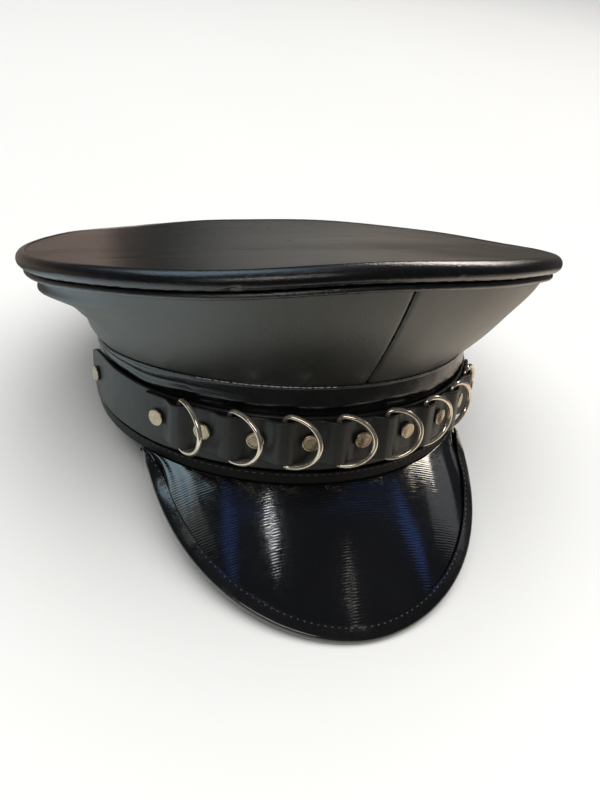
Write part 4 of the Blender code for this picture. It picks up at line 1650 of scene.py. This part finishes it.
@dataclass
class Studio:
    """The floor, the lights and the camera."""

    shop: Workshop
    eye: tuple[float, float, float] = (-0.103952, -0.342770, 0.161523)
    yaw: float = 0.3205
    pitch: float = 0.4375
    roll: float = 0.0750
    focal: float = 720.03
    centre: tuple[float, float] = (294.587, 394.385)
    frame_size: tuple[int, int] = (600, 800)
    floor_reach: float = 15.0
    aim_height: float = 0.06
    tube_rise: float = 1.2
    peak_place: tuple[float, float, float] = (-0.01, -0.125, 0.03)
    boxes: tuple[Softbox, ...] = (
        Softbox("ceiling", 30, 84, 3.2, 5.4, 5.4, 240, (1.0, 0.99, 0.97), Reach.FLAT),
        Softbox("front_left", -30, 34, 1.5, 0.9, 0.28, 4.6, (1.0, 0.95, 0.90), Reach.GLOSS),
        Softbox("left_fill", -95, 53, 1.5, 0.5, 0.34, 0.3, (0.95, 1.0, 0.92), Reach.GLOSS),
        Softbox("right_fill", 93, 28, 1.5, 0.5, 0.36, 0.3, (0.92, 0.94, 1.0), Reach.GLOSS),
    )
    tubes: tuple[Tube, ...] = (
        Tube("streak", (-0.092, -0.040), (-0.172, -0.205), 0.020, 22.0, (0.95, 1.0, 1.0)),
        Tube("low_streak", (0.368, -0.287), (0.300, -0.520), 0.018, 2.6, (1.0, 0.97, 0.90)),
        Tube("blue_left", (-0.358, 0.063), (-0.523, -0.244), 0.070, 0.9, (0.12, 0.30, 1.0)),
        Tube("blue_across", (-0.400, 0.030), (0.840, 0.000), 0.040, 0.6, (0.12, 0.28, 1.0)),
        Tube("blue_right", (0.860, 0.000), (1.151, -0.308), 0.110, 1.1, (0.14, 0.30, 1.0)),
        Tube("warm_spot", (1.120, 0.230), (1.210, 0.270), 0.060, 8.0, (1.0, 0.90, 0.75)),
        Tube("rear_sky_left", (-1.10, 0.75), (-0.05, 0.75), 1.10, 2.4, (0.62, 0.86, 1.0)),
        Tube("rear_sky_middle", (-0.05, 0.62), (0.50, 0.62), 0.80, 0.35, (0.80, 0.90, 1.0)),
        Tube("rear_sky_right", (0.60, 0.95), (1.70, 0.95), 1.20, 12.0, (1.0, 0.90, 0.78)),
        Tube("rear_line", (-0.60, 0.40), (0.50, 0.40), 0.08, 1.2, (0.70, 0.86, 1.0)),
    )
    # painted reflection: floor colours behind the cap that only glossy rays see, painting the light and the
    # painted shade that the leather mirrors: place along X, then red, green, blue
    painted_rear_reflection_rows: tuple[tuple[float, float, float, float], ...] = (
        (-0.16, 0.26, 0.21, 0.175),
        (-0.078, 0.34, 0.25, 0.215),
        (-0.058, 0.09, 0.07, 0.06),
        (-0.020, 0.010, 0.009, 0.008),
        (0.01, 0.04, 0.04, 0.04),
        (0.06, 0.15, 0.15, 0.145),
        (0.15, 0.24, 0.24, 0.23),
        (0.24, 0.38, 0.33, 0.28),
        (0.36, 0.06, 0.05, 0.04),
    )
    # painted reflection: the same close round the cap, painted brighter there for glossy rays only
    painted_near_reflection_rows: tuple[tuple[float, float, float, float], ...] = (
        (-0.20, 0.78, 0.92, 0.98),
        (-0.06, 0.94, 0.98, 0.88),
        (0.02, 0.92, 0.90, 0.77),
        (0.10, 1.00, 0.92, 0.78),
        (0.25, 0.88, 0.77, 0.66),
    )

    def build(self) -> None:
        """Sets up the floor, world, lights and camera."""
        self.build_floor()
        self.build_world()
        for box in self.boxes:
            self.build_light(box)
        for tube in self.tubes:
            self.build_tube(tube)
        self.build_camera()

    def painted_reflection_colour(self, graph: Graph, place: bpy.types.NodeSocket) -> bpy.types.NodeSocket:
        """Painted reflections: the floor's colour for glossy rays only, painted bright round the cap, painted
        tones behind it and painted shade further off.

        Args:
            graph: the floor material's graph.
            place: the floor's own coordinates.

        Returns:
            The colour.
        """
        split = graph.add("SeparateXYZ", {0: place})
        across, away = split.outputs[0], split.outputs[1]
        wide = graph.fit(graph.maths("ABSOLUTE", across), 0.28, 0.40, 1.0, 0.0)
        front, back = graph.fit(away, -0.25, -0.17), graph.fit(away, 0.04, 0.14, 1.0, 0.0)
        near = graph.maths("MULTIPLY", front, back)
        painted_near_patch = self.ramp(graph, across, self.painted_near_reflection_rows)
        rear = self.ramp(graph, across, self.painted_rear_reflection_rows)
        # painted shade: the reflected floor fades to dark further behind the cap
        behind = graph.tint(graph.fit(away, 0.12, 0.20, 0.0, 1.0), (0.03, 0.03, 0.03, 1.0), rear)
        return graph.tint(graph.maths("MULTIPLY", wide, near), behind, painted_near_patch)

    def ramp(
        self, graph: Graph, value: bpy.types.NodeSocket, rows: tuple[tuple[float, float, float, float], ...]
    ) -> bpy.types.NodeSocket:
        """A colour that follows a table of place, red, green and blue.

        Args:
            graph: the graph that it is added to.
            value: the place.
            rows: the table, in rising order of place.

        Returns:
            The colour between the two rows nearest the place.
        """
        first, last = rows[0][0], rows[-1][0]
        node = graph.add("ValToRGB", {0: graph.fit(value, first, last, 0.0, 1.0)})
        stops = node.color_ramp.elements
        for place, *_ in rows[1:-1]:
            stops.new((place - first) / (last - first))
        for stop, (_, *colour) in zip(stops, rows):
            stop.color = (*colour, 1.0)
        return node.outputs[0]

    def build_floor(self) -> None:
        """A plain pale floor with a barely uneven tone, which shows painted reflection colours to glossy rays
        only.
        """
        reach = self.floor_reach
        edges = [(-reach, -reach, 0), (reach, -reach, 0), (reach, reach, 0), (-reach, reach, 0)]
        mesh = bpy.data.meshes.new("floor")
        mesh.from_pydata(edges, [], [(0, 1, 2, 3)])
        floor = add_object("floor", mesh)
        made, graph, shader = new_material("pale_floor_painted_reflections")
        place = graph.add("TexCoord").outputs["Object"]
        noise = graph.add("TexNoise", {"Vector": place, "Scale": 3.0})
        seen = graph.tint(noise.outputs[0], (0.80, 0.80, 0.795, 1.0), (0.83, 0.83, 0.825, 1.0))
        path = graph.add("LightPath")
        # glossy rays see the painted reflection colours in place of the plain pale floor
        colour = graph.tint(path.outputs["Is Glossy Ray"], seen, self.painted_reflection_colour(graph, place))
        graph.feed(shader, {"Base Color": colour, "Roughness": 0.9, "Specular IOR Level": 0.1})
        mesh.materials.append(made)

    def build_world(self) -> None:
        """A soft grey room."""
        world = bpy.data.worlds.new("room")
        bpy.context.scene.world = world
        world.use_nodes = True
        back = world.node_tree.nodes["Background"]
        back.inputs["Color"].default_value = (0.85, 0.93, 1.0, 1.0)
        back.inputs["Strength"].default_value = 0.06

    def hang(self, name: str, wide: float, tall: float, watts: float, colour: Colour) -> bpy.types.Object:
        """A rectangular light, still to be placed.

        Args:
            name: its name.
            wide: its width.
            tall: its height.
            watts: its power.
            colour: its colour.

        Returns:
            The lamp.
        """
        light = bpy.data.lights.new(name, "AREA")
        light.shape = "RECTANGLE"
        light.size = wide
        light.size_y = tall
        light.energy = watts
        light.color = colour
        return add_object(name, light)

    def build_light(self, box: Softbox) -> None:
        """One softbox, on a line out from the cap at its azimuth and elevation, facing the cap.

        Args:
            box: its sizes and place.
        """
        elevation = math.radians(box.elevation)
        line = math.cos(elevation) * outward(math.radians(box.azimuth)) + math.sin(elevation) * UP
        lamp = self.hang(box.name, box.width, box.height, box.watts, box.colour)
        lamp.visible_glossy = box.reach is not Reach.FLAT
        lamp.visible_diffuse = box.reach is not Reach.GLOSS
        side = unit(np.cross(UP, line))
        place = line * box.distance + self.aim_height * UP
        stand(lamp, np.stack([side, np.cross(line, side), line], axis=1), place)

    def build_tube(self, tube: Tube) -> None:
        """One thin ceiling light, seen in mirrored light only: its watts are pi times area and radiance.

        Args:
            tube: its sizes and place.
        """
        spots = np.array([[*tube.start, 1.0], [*tube.end, 1.0]])
        start, end = np.array(self.peak_place) + self.tube_rise * spots
        length, width = float(np.linalg.norm(end - start)), tube.width * self.tube_rise
        lamp = self.hang(tube.name, length, width, math.pi * length * width * tube.radiance, tube.colour)
        lamp.visible_diffuse = False
        along = unit(end - start)
        stand(lamp, np.stack([along, np.cross(UP, along), UP], axis=1), (start + end) / 2)

    def build_camera(self) -> None:
        """The photograph's camera, given in the cap's frame.

        It looks along (sin yaw cos pitch, cos yaw cos pitch, -sin pitch), turned about that line by the roll.
        The lens follows from the focal length in pixels over the frame's longer side.
        """
        yaw, pitch = self.yaw, self.pitch
        ahead = np.array([math.sin(yaw) * math.cos(pitch), math.cos(yaw) * math.cos(pitch), -math.sin(pitch)])
        level = unit(np.cross(ahead, UP))
        raised = np.cross(level, ahead)
        right = math.cos(self.roll) * level + math.sin(self.roll) * raised
        above = -math.sin(self.roll) * level + math.cos(self.roll) * raised
        turn = self.shop.cap.turn @ np.stack([right, above, -ahead], axis=1)
        data = bpy.data.cameras.new("photo_camera")
        wide, tall = self.frame_size
        data.sensor_width = 36.0
        data.lens = self.focal * data.sensor_width / tall
        data.shift_x = (wide / 2 - self.centre[0]) / tall
        data.shift_y = (self.centre[1] - tall / 2) / tall
        data.clip_start = 0.01
        camera = add_object("photo_camera", data)
        stand(camera, turn, self.shop.cap.place(np.array(self.eye)))
        bpy.context.scene.camera = camera


def cap_frame(record: dict, form: Form) -> CapFrame:
    """Finds the cap's frame from the first ring's hinge.

    Args:
        record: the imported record.
        form: the cap's sizes.

    Returns:
        The frame: its +Z is against the hinge's axis, its +X is the model's, and its origin is the hinge's
        place less that place in the cap's frame.
    """
    joint = record["behaviour"]["joints"][0]
    rise = -unit(np.array(joint["axis"], float))
    side = np.array([1.0, 0.0, 0.0])
    turn = np.stack([side, np.cross(rise, side), rise], axis=1)
    azimuth = np.array(form.first_rivet + form.pitch / 2)
    bar = form.polar(azimuth, form.ring_bar_out, form.strap_centre)
    return CapFrame(np.array(joint["pos_m"], float) - turn @ bar, turn)


def main() -> None:
    """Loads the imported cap, builds and dresses its pieces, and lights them."""
    logging.basicConfig(level=logging.INFO, format="%(name)s: %(message)s")
    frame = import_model()
    form = Form()
    shop = Workshop(cap_frame(frame["record"], form), form)
    finishes = Finishes(Effects())
    for kind in (Crown, HeadBand, Straps, Peak):
        kind(shop, finishes).build()
        LOG.info("%s is done", kind.__name__)
    bpy.context.scene.view_settings.view_transform = "Standard"
    Studio(shop).build()


if __name__ == "__main__":
    main()
